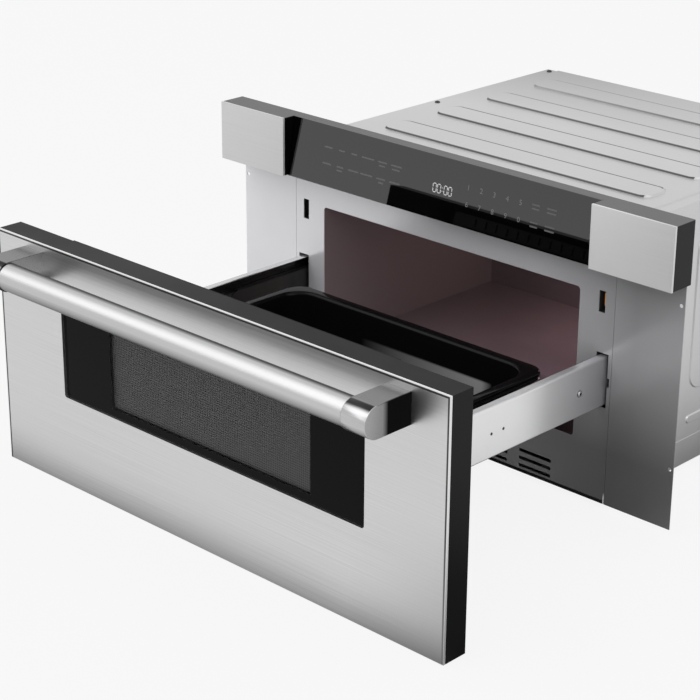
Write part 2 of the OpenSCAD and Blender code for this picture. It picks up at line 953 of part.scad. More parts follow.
module cord_bushing() {
    color("black") translate([cord_x, back_y, cord_z]) rotate([-90, 0, 0]) difference() {
        union() {
            translate([0, 0, -bushing_l / 2]) cylinder(bushing_l, r = bushing_r - seam / 2);
            translate([0, 0, sheet_t]) cylinder(bushing_flange_t, r = bushing_flange_r);
            translate([0, 0, -bushing_flange_t]) cylinder(bushing_flange_t, r = bushing_flange_r - 2 * seam);
        }
        translate([0, 0, -bushing_l]) cylinder(2 * bushing_l, r = cord_r);
    }
}

// a channel with its web at x = a and its edges at x = b, in X and Z
module channel(a, b, r, t) {
    s = sign(b - a) * t;
    translate([0, slide_z]) polygon([[a, -r], [b, -r], [b, t - r], [a + s, t - r],
        [a + s, r - t], [b, r - t], [b, r], [a, r]]);
}

// the slide members are drawn for the right slide, from the cabinet side outwards
slide_x0 = rail_face - rail_t - slide_t;
slide_x1 = rail_face - rail_t;
ball_room = ball_d + 1.5 * apart;
outer_r = slide_h / 2;
middle_r = outer_r - member_t - ball_room;
inner_r = middle_r - member_t - ball_room;

module outer_profile() {
    r = outer_r;
    t = member_t;
    x = slide_x0;
    e = slide_x1 - t;
    lip = t + race_lip;
    translate([0, slide_z]) polygon([[x, -r], [e, -r], [e, lip - r], [e - t, lip - r], [e - t, t - r],
        [x + t, t - r], [x + t, r - t], [e - t, r - t], [e - t, r - lip], [e, r - lip], [e, r], [x, r]]);
}

module slide_outer() {
    color("silver") slab_y(slide_y, slide_l) outer_profile();
}

module left_slide_outer() {
    on_left() slide_outer();
}

module right_slide_outer() {
    slide_outer();
}

module slide_middle() {
    r = middle_r;
    x = slide_x0 + member_t + middle_gap;
    y = slide_y + middle_set;
    color("dimgray") {
        slab_y(y + r, middle_l - r) channel(x, slide_x1 - member_t, r, member_t);
        slab_x(x, member_t) {
            translate([y + r, slide_z]) circle(r);
            span([y + r, slide_z - r], [y + 2 * r, slide_z + r]);
        }
    }
}

module left_slide_middle() {
    opened(0.5) on_left() slide_middle();
}

module right_slide_middle() {
    opened(0.5) slide_middle();
}

module slide_inner() {
    color("silver") difference() {
        slab_y(slide_y, slide_l)
            channel(slide_x1, slide_x0 + 2 * member_t + 2 * middle_gap, inner_r, member_t);
        for (y = rivet_ys) rail_hole(y, rivet_r + running);
        rail_hole(rail_screw_y, screw_r + running);
    }
}

module left_slide_inner() {
    opened(1) on_left() slide_inner();
}

module right_slide_inner() {
    opened(1) slide_inner();
}

module rail_hole(y, r) {
    translate([rail_face - rail_t - 2 * member_t, y, slide_z]) rotate([0, 90, 0])
        cylinder(rail_t + 2 * member_t + over, r = r);
}

// a strip that keeps a row of balls apart, drawn above the slide's axis
module ball_cage(z, y) {
    x = slide_x1 - slide_t / 2;
    difference() {
        translate([x - cage_half, y, z - cage_t / 2]) cube([2 * cage_half, cage_l, cage_t]);
        for (i = [0 : cage_balls - 1]) {
            translate([x, y + cage_pitch * (i + 0.9), z - over]) cylinder(2 * over, r = ball_d / 2 + running);
        }
    }
    for (i = [0 : cage_balls - 1]) {
        translate([x, y + cage_pitch * (i + 0.9), z]) sphere(d = ball_d);
    }
}

module cage_set(r, y) {
    on_both() for (s = [0, 1]) {
        translate([0, 0, slide_z]) mirror([0, 0, s]) ball_cage(r, y);
    }
}

module outer_ball_cages() {
    color("goldenrod") opened(0.25) cage_set(middle_r + ball_room / 2, outer_cage_y);
}

module inner_ball_cages() {
    color("goldenrod") opened(0.75) cage_set(inner_r + ball_room / 2, inner_cage_y);
}

module slide_bracket() {
    x1 = slide_x0;
    x0 = x1 - plate_t;
    z = rail_z0 - foot_drop;
    color("silver") slab_y(frame_leg + seam, slide_l) {
        span([x0, z], [x1, slide_z + slide_h / 2]);
        span([x0, z - plate_t], [side_in, z]);
        span([side_in - plate_t, z - foot_lip], [side_in, z]);
    }
}

module slide_brackets() {
    on_both() slide_bracket();
}

module pan_screw() {
    cylinder(screw_head_h, r = screw_head_r);
    translate([0, 0, -screw_l]) cylinder(screw_l + screw_head_h / 2, r = screw_r);
}

module cabinet_screws() {
    color("dimgray") on_both() for (y = cover_screw_ys) {
        translate([body_w / 2 - cover_screw_in, y, strip_top]) pan_screw();
    }
}

// side view of the control bar's body, y and z
module bar_outline(inset) {
    translate([0, bar_z0]) polygon([
        [bar_y + glass_low_set + glass_t - inset, 0], [frame_y, 0], [frame_y, bar_h],
        [bar_y + glass_top_set + glass_t - inset, bar_h]]);
}

module bar_housing() {
    w = face_w / 2;
    mid = w - end_plate_w;
    y1 = frame_y;
    color([0.15, 0.15, 0.16]) difference() {
        union() {
            slab_x(-mid, 2 * mid) bar_outline(0);
            on_both() box([mid, bar_y + end_lip + groove, bar_z0], [w, y1, bar_z1]);
            on_both() box([mid + end_t + groove / 4, bar_y + end_t, bar_z0 + end_t + groove / 4],
                [w - end_t - groove / 4, y1, bar_z1 - end_t - groove / 4]);
        }
        on_both() box([mid + bar_wall, bar_y + end_lip + groove + bar_wall, bar_z0 + bar_wall],
            [w - bar_wall, y1 + over, bar_z1 - bar_wall]);
        slab_x(bar_wall - mid, 2 * (mid - bar_wall)) translate([0, bar_z0]) polygon([
            [bar_y, ledge], [y1 - bar_wall, ledge], [y1 - bar_wall, bar_h - ledge],
            [bar_y, bar_h - ledge]]);
    }
}

module bar_plate() {
    w = face_w / 2;
    mid = w - end_plate_w;
    color("lightgray") difference() {
        box([mid, bar_y, bar_z0], [w, bar_y + end_lip, bar_z1]);
        box([mid + end_t, bar_y + end_t, bar_z0 + end_t],
            [w - end_t, bar_y + end_lip + over, bar_z1 - end_t]);
    }
}

module left_bar_plate() {
    on_left() bar_plate();
}

module right_bar_plate() {
    bar_plate();
}

module control_glass() {
    mid = face_w / 2 - end_plate_w;
    color([0.1, 0.1, 0.11]) slab_x(-mid, 2 * mid) translate([0, bar_z0]) polygon([
        [bar_y + glass_low_set, 0], [bar_y + glass_low_set + glass_t, 0],
        [bar_y + glass_top_set + glass_t, bar_h], [bar_y + glass_top_set, bar_h]]);
}

// depth of the glass's back at a height above the bar's lower edge
function glass_back(z) = bar_y + glass_low_set + glass_t + (glass_top_set - glass_low_set) * z / bar_h;

module touch_board() {
    z = (bar_h - touch_h) / 2;
    y0 = glass_back(z + touch_h) + display_t + apart;
    color("green") {
        box([-touch_w / 2, y0, bar_z0 + z], [touch_w / 2, y0 + touch_t, bar_z0 + z + touch_h]);
        for (sx = [-1, 1], sz = [0, 1]) {
            translate([sx * (touch_w / 2 - 2 * boss_r), y0 + touch_t,
                bar_z0 + z + 2 * boss_r + sz * (touch_h - 4 * boss_r)])
                rotate([-90, 0, 0]) cylinder(frame_y - bar_wall - y0 - touch_t, r = boss_r);
        }
    }
}

module display_module() {
    z = (bar_h - touch_h) / 2;
    y0 = glass_back(z + touch_h) + display_t + apart;
    c = z + touch_h / 2;
    color("ivory") box([-display_w / 2, y0 - display_t, bar_z0 + c - display_h / 2],
        [display_w / 2, y0, bar_z0 + c + display_h / 2]);
}

module door_skin() {
    h = door_h;
    c = door_z0 + h / 2;
    color("lightgray") opened(1) difference() {
        union() {
            difference() {
                slab_y(face_y, skin_lip) translate([0, c]) square([face_w, h], center = true);
                slab_y(face_y + skin_t, skin_lip)
                    translate([0, c]) square([face_w - 2 * skin_t, h - 2 * skin_t], center = true);
            }
            slab_y(face_y, window_lip) translate([0, window_z])
                rounded(window_w + 2 * skin_t, window_h + 2 * skin_t, window_r + skin_t);
        }
        slab_y(face_y - over, window_lip + 2 * over) translate([0, window_z])
            rounded(window_w, window_h, window_r);
        handle_holes(screw_r + running);
    }
}

module handle_holes(r) {
    for (s = [-1, 1], t = [-1, 1]) {
        translate([s * (post_span - post_w) / 2, face_y - over, handle_z + t * post_h / 4])
            rotate([-90, 0, 0]) cylinder(skin_t + 2 * over, r = r);
    }
}

module door_core() {
    h = door_h;
    c = door_z0 + h / 2;
    inset = 2 * (skin_t + groove / 4);
    color([0.13, 0.13, 0.14]) opened(1) difference() {
        union() {
            slab_y(face_y + skin_lip + groove, inner_y - face_y - skin_lip - groove)
                translate([0, c]) square([face_w, h], center = true);
            slab_y(face_y + skin_t, inner_y - face_y - skin_t)
                translate([0, c]) square([face_w - inset, h - inset], center = true);
        }
        // seat of the window glass and the shield, open to the front
        slab_y(face_y, screen_y + screen_t - face_y) translate([0, window_z])
            square([window_w + 2 * glass_cover, window_h + 2 * glass_cover], center = true);
        slab_y(face_y, door_t) translate([0, window_z])
            rounded(mesh_w + 2 * mesh_edge, window_h, window_r);
        on_both() box([latch_x - pocket_w / 2, inner_y - pocket_d, latch_z - pocket_h / 2],
            [latch_x + pocket_w / 2, inner_y + over, latch_z + pocket_h / 2]);
        screw_pockets();
        back_screw_holes();
    }
}

module screw_pockets() {
    for (s = [-1, 1]) {
        translate([s * (post_span - post_w) / 2, face_y, handle_z])
            slab_y(0, pocket_d / 2) rounded(post_w / 2, post_h - 2 * window_lip, window_r);
    }
}

module window_glass() {
    color([0.12, 0.12, 0.13, 0.9]) opened(1) slab_y(glass_y, window_glass_t)
        translate([0, window_z]) rounded(window_w + 2 * glass_cover - 2 * seam,
            window_h + 2 * glass_cover - 2 * seam, window_r);
}

module window_screen() {
    color("dimgray") opened(1) slab_y(screen_y, screen_t) translate([0, window_z])
        rounded(window_w + 2 * glass_cover - 2 * seam, window_h + 2 * glass_cover - 2 * seam, window_r);
}

module inner_panel() {
    h = door_h - window_lip;
    c = door_z1 - h / 2;
    color("dimgray") opened(1) difference() {
        slab_y(inner_y, inner_panel_t) translate([0, c]) square([inner_panel_w, h], center = true);
        slab_y(inner_y - over, inner_panel_t + 2 * over) {
            translate([0, window_z]) rounded(mesh_w, window_h - 2 * mesh_edge, window_r);
            on_both_flat() translate([latch_x, latch_z])
                square([latch_slot_w, latch_slot_h], center = true);
            on_both_flat() span([rail_face - rail_lip - rail_t - apart, rail_z0 - apart],
                [inner_panel_w / 2 + over, rail_z0 + rail_h + apart]);
        }
        back_screw_holes();
    }
}

module back_screw_holes() {
    for (x = tub_screw_xs) door_hole([x, inner_y, tub_screw_z]);
    for (s = [-1, 1], z = tab_screw_zs) door_hole([s * tab_screw_x, inner_y, z]);
}

module inner_glass() {
    color([0.2, 0.2, 0.2, 0.6]) opened(1) slab_y(inner_y - inner_glass_t, inner_glass_t)
        translate([0, window_z]) rounded(mesh_w + 2 * mesh_edge - 2 * seam, window_h - 2 * seam, window_r);
}

module choke_frame() {
    w = opening_w + 2 * choke_in;
    h = opening_h + 2 * choke_in;
    color([0.2, 0.2, 0.21]) opened(1) difference() {
        slab_y(door_y1, choke_t) translate([0, open_mid])
            rounded(w + 2 * choke_w, h + 2 * choke_w, opening_r);
        slab_y(door_y1 - over, choke_t + 2 * over) translate([0, open_mid]) rounded(w, h, opening_r);
        slab_y(door_y1 - over, choke_t + 2 * over) choke_slots(w, h);
    }
}

module choke_slots(w, h) {
    nx = floor(w / 2 / choke_pitch) - 1;
    nz = floor(h / 2 / choke_pitch) - 1;
    for (i = [-nx : nx], s = [-1, 1]) {
        translate([i * choke_pitch, open_mid + s * (h + choke_w) / 2])
            square([choke_slot_w, choke_slot_l], center = true);
    }
    for (i = [-nz : nz], s = [-1, 1]) {
        translate([s * (w + choke_w) / 2, open_mid + i * choke_pitch])
            square([choke_slot_l, choke_slot_w], center = true);
    }
}

module handle_bar() {
    l = post_span - 2 * post_w;
    color("silver") opened(1) translate([-l / 2, bar_axis_y, handle_z]) rotate([0, 90, 0]) {
        cylinder(l, d = handle_d - 2 * spigot_step);
        translate([0, 0, spigot_l]) cylinder(l - 2 * spigot_l, d = handle_d);
    }
}

module handle_posts() {
    color("silver") opened(1) on_both() difference() {
        union() {
            box([post_span / 2 - post_w, bar_axis_y, handle_z - post_h / 2],
                [post_span / 2, face_y, handle_z + post_h / 2]);
            translate([post_span / 2 - post_w, bar_axis_y, handle_z]) rotate([0, 90, 0])
                cylinder(post_w, d = post_h);
        }
        for (t = [-1, 1]) {
            translate([(post_span - post_w) / 2, face_y + over, handle_z + t * post_h / 4])
                rotate([90, 0, 0]) cylinder(over + screw_l, r = screw_r + running);
        }
    }
}

module door_screws() {
    color("silver") opened(1) {
        for (s = [-1, 1], t = [-1, 1]) {
            translate([s * (post_span - post_w) / 2, face_y + skin_t, handle_z + t * post_h / 4])
                rotate([-90, 0, 0]) pan_screw();
        }
        for (x = tub_screw_xs) {
            translate([x, door_y1 + tub_wall, tub_screw_z]) rotate([-90, 0, 0]) pan_screw();
        }
        for (s = [-1, 1], z = tab_screw_zs) {
            translate([s * tab_screw_x, inner_y + rail_t, z]) rotate([-90, 0, 0]) pan_screw();
        }
    }
}

module drawer_tub() {
    view_z0 = window_z0 + tub_view_edge;
    view_z1 = rim_z - tub_view_edge;
    color([0.08, 0.08, 0.09]) opened(1) difference() {
        union() {
            translate([0, door_y1 + tub_l / 2, rim_z]) tub_shell(tub_well_w, tub_l - 2 * tub_border);
            box([-tub_well_w / 2 + rim_r, door_y1, tub_screw_z - tub_tab],
                [tub_well_w / 2 - rim_r, door_y1 + tub_wall, rim_z + tub_lip]);
        }
        for (x = tub_screw_xs) door_hole([x, door_y1, tub_screw_z]);
        // the opening that the window looks through
        slab_y(door_y1 - over, 2 * tub_border) translate([0, (view_z0 + view_z1) / 2])
            rounded(tub_well_w - 2 * tub_view_side, view_z1 - view_z0, tub_view_r);
    }
}

// the pressed well and its rim, seen from the rim's top
module tub_shell(w, l) {
    difference() {
        union() {
            mirror([0, 0, 1]) tapered_block(w + 2 * tub_wall, l + 2 * tub_wall,
                tub_r + tub_wall, tub_h, tub_draft);
            translate([0, 0, -rim_t]) linear_extrude(rim_t) rounded(tub_rim_w, tub_l, rim_r);
            translate([0, 0, -rim_turn]) linear_extrude(rim_turn) difference() {
                rounded(tub_rim_w, tub_l, rim_r);
                rounded(tub_rim_w - 2 * rim_t, tub_l - 2 * rim_t, rim_r - rim_t);
            }
        }
        mirror([0, 0, 1]) tapered_block(w, l, tub_r, tub_h - tub_floor_t, tub_draft);
        linear_extrude(over) rounded(w, l, tub_r);
    }
}

// a hole for a door screw that is put in from the back
module door_hole(at) {
    translate([at[0], at[1] - screw_l, at[2]]) rotate([-90, 0, 0])
        cylinder(2 * screw_l, r = screw_r + running);
}

module floor_plate() {
    c = door_y1 + tub_l / 2;
    cut = 2 * tub_draft + 2 * ceramic_gap;
    color("dimgray") opened(1) translate([0, c, rim_z - tub_h + tub_floor_t])
        linear_extrude(ceramic_t) rounded(tub_well_w - cut, tub_l - 2 * tub_border - cut, tub_r - ceramic_gap);
}

module rail() {
    x1 = rail_face;
    w = rail_lip + rail_t;
    c = [x1 - w / 2, rail_z0 + rail_h / 2];
    color("gainsboro") difference() {
        union() {
            slab_y(inner_y, rail_l) difference() {
                translate(c) rounded(w, rail_h, rail_bend);
                translate(c) rounded(w - 2 * rail_t, rail_h - 2 * rail_t, rail_bend - rail_t);
                span([x1 - w - over, rail_z0 + rail_t], [x1 - w + rail_bend, rail_z0 + rail_h - rail_t]);
            }
            box([x1 - rail_t, inner_y, rail_z0 + rail_bend],
                [x1 + rail_tab, inner_y + rail_t, rail_z0 + rail_h - rail_bend]);
        }
        for (z = tab_screw_zs) door_hole([tab_screw_x, inner_y, z]);
        for (y = rivet_ys) rail_hole(y, rivet_r + running);
        rail_hole(rail_screw_y, screw_r + running);
    }
}

module left_rail() {
    opened(1) on_left() rail();
}

module right_rail() {
    opened(1) rail();
}

module rail_fixing(y, r, head_r, head_h) {
    translate([rail_face, y, slide_z]) rotate([0, 90, 0]) {
        cylinder(head_h, r = head_r);
        translate([0, 0, -rail_t - member_t]) cylinder(rail_t + member_t + head_h / 2, r = r);
    }
}

module rail_screws() {
    color("gray") opened(1) on_both() {
        for (y = rivet_ys) rail_fixing(y, rivet_r, rivet_head_r, rivet_head_h);
        rail_fixing(rail_screw_y, screw_r, screw_head_r, screw_head_h);
    }
}

module latch_hook() {
    y0 = inner_y - hook_pin_y;
    color("ivory") difference() {
        union() {
            slab_x(hook_x - hook_t / 2, hook_t) {
                span([y0, latch_z - hook_h / 2], [hook_tip_y, latch_z + hook_h / 2]);
                polygon([[hook_tip_y - 2 * hook_barb, latch_z - hook_h / 2],
                    [hook_tip_y - 2 * hook_barb, latch_z - hook_h / 2 - hook_barb],
                    [hook_tip_y - hook_barb, latch_z - hook_h / 2 - hook_barb],
                    [hook_tip_y, latch_z - hook_h / 2]]);
                translate([y0, latch_z]) circle(hook_h / 2 + hook_pin_r / 2);
            }
        }
        translate([hook_x - hook_t, y0, latch_z]) rotate([0, 90, 0])
            cylinder(2 * hook_t, r = hook_pin_r + running);
    }
}

module left_latch_hook() {
    opened(1) on_left() latch_hook();
}

module right_latch_hook() {
    opened(1) latch_hook();
}

module latch_pins() {
    color("silver") opened(1) on_both()
        translate([latch_x - pocket_w / 2, inner_y - hook_pin_y, latch_z]) rotate([0, 90, 0])
            cylinder(pocket_w, r = hook_pin_r);
}

base_pan();
back_panel();
left_side_panel();
right_side_panel();
top_cover();
front_frame();
left_flange();
right_flange();
cavity_liner();
waveguide();
magnetron();
transformer();
capacitor();
fan_housing();
fan_motor();
fan_blade();
stirrer_motor();
stirrer_blade();
stirrer_cover();
oven_lamp();
latch_housings();
interlock_switches();
left_switch_lever();
right_switch_lever();
power_board();
cord_bushing();
left_slide_outer();
right_slide_outer();
slide_brackets();
cabinet_screws();
bar_housing();
left_bar_plate();
right_bar_plate();
control_glass();
display_module();
touch_board();
door_skin();
door_core();
window_glass();
window_screen();
inner_panel();
inner_glass();
choke_frame();
handle_bar();
handle_posts();
door_screws();
drawer_tub();
floor_plate();
left_rail();
right_rail();
left_slide_inner();
right_slide_inner();
rail_screws();
left_latch_hook();
right_latch_hook();
latch_pins();
left_slide_middle();
right_slide_middle();
outer_ball_cages();
inner_ball_cages();
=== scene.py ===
import math

import bmesh
import bpy
from mathutils import Matrix, Vector


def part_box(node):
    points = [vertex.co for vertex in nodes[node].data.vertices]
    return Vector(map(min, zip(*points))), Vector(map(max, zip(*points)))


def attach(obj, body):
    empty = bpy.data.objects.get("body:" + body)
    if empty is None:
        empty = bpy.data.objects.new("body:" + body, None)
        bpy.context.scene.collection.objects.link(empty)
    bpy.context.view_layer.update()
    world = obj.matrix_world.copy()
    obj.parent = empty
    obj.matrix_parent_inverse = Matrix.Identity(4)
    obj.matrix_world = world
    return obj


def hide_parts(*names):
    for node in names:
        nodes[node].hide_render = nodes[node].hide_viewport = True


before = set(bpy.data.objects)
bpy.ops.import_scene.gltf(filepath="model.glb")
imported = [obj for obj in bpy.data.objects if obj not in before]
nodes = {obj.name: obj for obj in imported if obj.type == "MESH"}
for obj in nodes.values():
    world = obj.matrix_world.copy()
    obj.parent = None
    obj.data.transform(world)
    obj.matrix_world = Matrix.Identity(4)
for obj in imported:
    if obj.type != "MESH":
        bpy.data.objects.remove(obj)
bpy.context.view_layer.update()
print("frame loaded:", len(nodes), "nodes")

mm = 0.001

# camera, fitted to the photograph
cameraSet = {
    "place": (1.62421, -1.87176, 0.94729),
    "yaw": 42.73,
    "pitch": 21.92,
    "roll": -0.83,
    "lens": 104.33,
    "sensor": 36,
    "shiftX": -0.0500,
    "shiftY": -0.0072,
    "near": 0.05,
    "far": 60,
}


def makeCamera(s):
    a, e, r = (math.radians(s[k]) for k in ("yaw", "pitch", "roll"))
    back = Vector((math.sin(a) * math.cos(e), -math.cos(a) * math.cos(e), math.sin(e)))
    right = Vector((math.cos(a), math.sin(a), 0))
    up = back.cross(right)
    x = math.cos(r) * right - math.sin(r) * up
    y = math.sin(r) * right + math.cos(r) * up
    data = bpy.data.cameras.new("camera")
    data.lens = s["lens"]
    data.sensor_width = s["sensor"]
    data.shift_x = s["shiftX"]
    data.shift_y = s["shiftY"]
    data.clip_start = s["near"]
    data.clip_end = s["far"]
    cam = bpy.data.objects.new("camera", data)
    cam.matrix_world = Matrix.Translation(s["place"]) @ Matrix((x, y, back)).transposed().to_4x4()
    bpy.context.scene.collection.objects.link(cam)
    bpy.context.scene.camera = cam


makeCamera(cameraSet)
bpy.context.scene.view_settings.view_transform = "Standard"


# small helpers for node materials
def startMaterial(name):
    mat = bpy.data.materials.new(name)
    mat.use_nodes = True
    tree = mat.node_tree
    return mat, tree, tree.nodes["Principled BSDF"]


def put(tree, kind, **settings):
    node = tree.nodes.new(kind)
    for key, value in settings.items():
        if key in node.inputs:
            node.inputs[key].default_value = value
        else:
            setattr(node, key, value)
    return node


def objectCoords(tree, scale=(1, 1, 1), turn=(0, 0, 0)):
    coord = put(tree, "ShaderNodeTexCoord")
    mapping = put(tree, "ShaderNodeMapping")
    mapping.inputs["Scale"].default_value = scale
    mapping.inputs["Rotation"].default_value = turn
    tree.links.new(coord.outputs["Object"], mapping.inputs["Vector"])
    return mapping.outputs["Vector"]


def axisOf(tree, letter):
    coord = put(tree, "ShaderNodeTexCoord")
    parts = put(tree, "ShaderNodeSeparateXYZ")
    tree.links.new(coord.outputs["Object"], parts.inputs[0])
    return parts.outputs[letter]


def calc(tree, operation, *values):
    node = put(tree, "ShaderNodeMath", operation=operation)
    for index, value in enumerate(values):
        if isinstance(value, (int, float)):
            node.inputs[index].default_value = value
        else:
            tree.links.new(value, node.inputs[index])
    return node.outputs[0]


def noise(tree, vector, scale, detail=3, rough=0.55):
    node = put(tree, "ShaderNodeTexNoise", Scale=scale, Detail=detail, Roughness=rough)
    tree.links.new(vector, node.inputs["Vector"])
    return node.outputs["Fac"]


def ramp(tree, value, low, high, fromMin=0.3, fromMax=0.7):
    node = put(tree, "ShaderNodeMapRange")
    node.inputs["From Min"].default_value = fromMin
    node.inputs["From Max"].default_value = fromMax
    node.inputs["To Min"].default_value = low
    node.inputs["To Max"].default_value = high
    tree.links.new(value, node.inputs["Value"])
    return node.outputs["Result"]


def blendColors(tree, factor, first, second):
    # sockets 6 and 7 and output 2 are the ones for colours
    node = put(tree, "ShaderNodeMix", data_type="RGBA")
    for socket, color in ((6, first), (7, second)):
        if isinstance(color, tuple):
            node.inputs[socket].default_value = (*color, 1)
        else:
            tree.links.new(color, node.inputs[socket])
    tree.links.new(factor, node.inputs[0])
    return node.outputs[2]


def bumpOf(tree, height, distance, strength=1.0, under=None):
    node = put(tree, "ShaderNodeBump", Strength=strength, Distance=distance)
    tree.links.new(height, node.inputs["Height"])
    if under is not None:
        tree.links.new(under, node.inputs["Normal"])
    return node.outputs["Normal"]


def grey(level):
    return (level, level, level)


def shades(color, spread):
    light = tuple(min(1, c * (1 + spread)) for c in color)
    dark = tuple(c * (1 - spread) for c in color)
    return dark, light


def within(tree, letter, low, high, soft):
    # 1 between two places on an axis, fading over a soft edge
    value = axisOf(tree, letter)
    rising = ramp(tree, value, 0, 1, low - soft, low + soft)
    falling = ramp(tree, value, 1, 0, high - soft, high + soft)
    return calc(tree, "MULTIPLY", rising, falling)


def overlay(mat, mask, color, metallic):
    # another tone and metallic level laid over a finish where the mask is 1
    tree = mat.node_tree
    surface = tree.nodes["Principled BSDF"]
    tone = surface.inputs["Base Color"].links[0].from_socket
    tree.links.new(blendColors(tree, mask, tone, color), surface.inputs["Base Color"])
    level = surface.inputs["Metallic"]
    start = level.links[0].from_socket if level.links else level.default_value
    change = calc(tree, "MULTIPLY", mask, calc(tree, "SUBTRACT", metallic, start))
    tree.links.new(calc(tree, "ADD", start, change), level)
    return mat


def brushedMetal(name, color, metallic=1.0, rough=(0.3, 0.4), spread=0.05, scale=(3, 700, 1100),
                 bump=0.02 * mm, uneven=0.03):
    # long fine scratches over a slow unevenness of the polish
    mat, tree, surface = startMaterial(name)
    grain = noise(tree, objectCoords(tree, scale), scale=1.0, detail=4, rough=0.6)
    broad = noise(tree, objectCoords(tree), scale=3, detail=2)
    tone = blendColors(tree, ramp(tree, grain, 0, 1), *shades(color, spread))
    tree.links.new(tone, surface.inputs["Base Color"])
    level = calc(tree, "ADD", ramp(tree, grain, *rough), ramp(tree, broad, -uneven, uneven))
    tree.links.new(level, surface.inputs["Roughness"])
    tree.links.new(bumpOf(tree, grain, bump, strength=0.5), surface.inputs["Normal"])
    surface.inputs["Metallic"].default_value = metallic
    return mat


def foldedSteel(name, color, s, **other):
    # brushed skin with a painted highlight along its side and top edges and a painted shade line at the
    # hem's fold inside it
    mat = brushedMetal(name, color, **other)
    tree = mat.node_tree
    side = calc(tree, "SUBTRACT", calc(tree, "ABSOLUTE", axisOf(tree, "X")), s["half"])
    edge = calc(tree, "MAXIMUM", side, calc(tree, "SUBTRACT", axisOf(tree, "Z"), s["top"]))
    away = calc(tree, "ABSOLUTE", calc(tree, "ADD", edge, s["inset"]))
    line = ramp(tree, away, 1, 0, s["width"] * s["lineCore"], s["width"])
    rim = ramp(tree, edge, 0, 1, s["width"] * s["rimStart"] - s["inset"], s["width"] - s["inset"])
    overlay(mat, rim, s["rimHighlightColor"], s["rimMetallic"])
    return overlay(mat, line, s["color"], 0)


def sheetMetal(name, color, metallic=0.8, rough=(0.34, 0.44), spread=0.03, spangle=0.01,
               bump=0.01 * mm):
    # zinc-coated sheet: faint crystals under a slow cloudiness
    mat, tree, surface = startMaterial(name)
    crystals = put(tree, "ShaderNodeTexVoronoi", Scale=120)
    tree.links.new(objectCoords(tree), crystals.inputs["Vector"])
    cells = put(tree, "ShaderNodeSeparateColor")
    tree.links.new(crystals.outputs["Color"], cells.inputs["Color"])
    cloud = noise(tree, objectCoords(tree), scale=5, detail=4)
    speck = noise(tree, objectCoords(tree), scale=1400, detail=2)
    tone = blendColors(tree, ramp(tree, cloud, 0, 1), *shades(color, spread))
    tree.links.new(tone, surface.inputs["Base Color"])
    shift = ramp(tree, cells.outputs[0], -spangle, spangle, 0, 1)
    tree.links.new(calc(tree, "ADD", ramp(tree, cloud, *rough), shift), surface.inputs["Roughness"])
    tree.links.new(bumpOf(tree, speck, bump, strength=0.3), surface.inputs["Normal"])
    surface.inputs["Metallic"].default_value = metallic
    return mat


def ribShadeSheet(name, color, s, **other):
    # the cover's sheet, with a painted shade line around each rib for the shade on its edge: away is
    # the distance from the rib's outline, and far is 1 on the rib's side towards the back
    mat = sheetMetal(name, color, **other)
    tree = mat.node_tree
    shifted = calc(tree, "SUBTRACT", axisOf(tree, "Y"), s["first"] - s["pitch"] / 2)
    y = calc(tree, "SUBTRACT", calc(tree, "FLOORED_MODULO", shifted, s["pitch"]), s["pitch"] / 2)
    x = axisOf(tree, "X")
    sides = []
    for value, half in ((x, s["reach"]), (y, s["half"])):
        sides.append(calc(tree, "SUBTRACT", calc(tree, "ABSOLUTE", value), half - s["radius"]))
    outer = [calc(tree, "MAXIMUM", side, 0) for side in sides]
    squares = [calc(tree, "MULTIPLY", side, side) for side in outer]
    corner = calc(tree, "SQRT", calc(tree, "ADD", *squares))
    inner = calc(tree, "MINIMUM", calc(tree, "MAXIMUM", *sides), 0)
    away = calc(tree, "SUBTRACT", calc(tree, "ADD", corner, inner), s["radius"])
    far = ramp(tree, y, 0, 1, -s["blend"], s["blend"])
    spare = calc(tree, "MULTIPLY", far, s["farWidth"] - s["width"])
    shift = calc(tree, "MULTIPLY", calc(tree, "SUBTRACT", 1, far), s["nearShift"])
    off = calc(tree, "ABSOLUTE", calc(tree, "SUBTRACT", away, shift))
    line = ramp(tree, calc(tree, "SUBTRACT", off, spare), 1, 0, s["width"] * s["core"], s["width"])
    start = ramp(tree, x, 0, 1, -s["reach"] + s["blend"], -s["reach"] + s["fade"])
    sharp = ramp(tree, x, 0, 1, -s["reach"] + s["near"], -s["reach"] + s["near"] + mm)
    lead = calc(tree, "ADD", calc(tree, "MULTIPLY", far, start),
                calc(tree, "MULTIPLY", calc(tree, "SUBTRACT", 1, far), sharp))
    end = ramp(tree, x, 1, 0, s["reach"] - s["end"], s["reach"] - s["end"] + mm)
    top = ramp(tree, axisOf(tree, "Z"), 0, 1, s["level"], s["level"] + mm)
    last = s["first"] + s["pitch"] * (s["count"] - 0.5)
    rows = calc(tree, "LESS_THAN", axisOf(tree, "Y"), last)
    mask = calc(tree, "MULTIPLY", calc(tree, "MULTIPLY", line, lead), calc(tree, "MULTIPLY", top, rows))
    return overlay(mat, calc(tree, "MULTIPLY", mask, end), s["color"], 0)


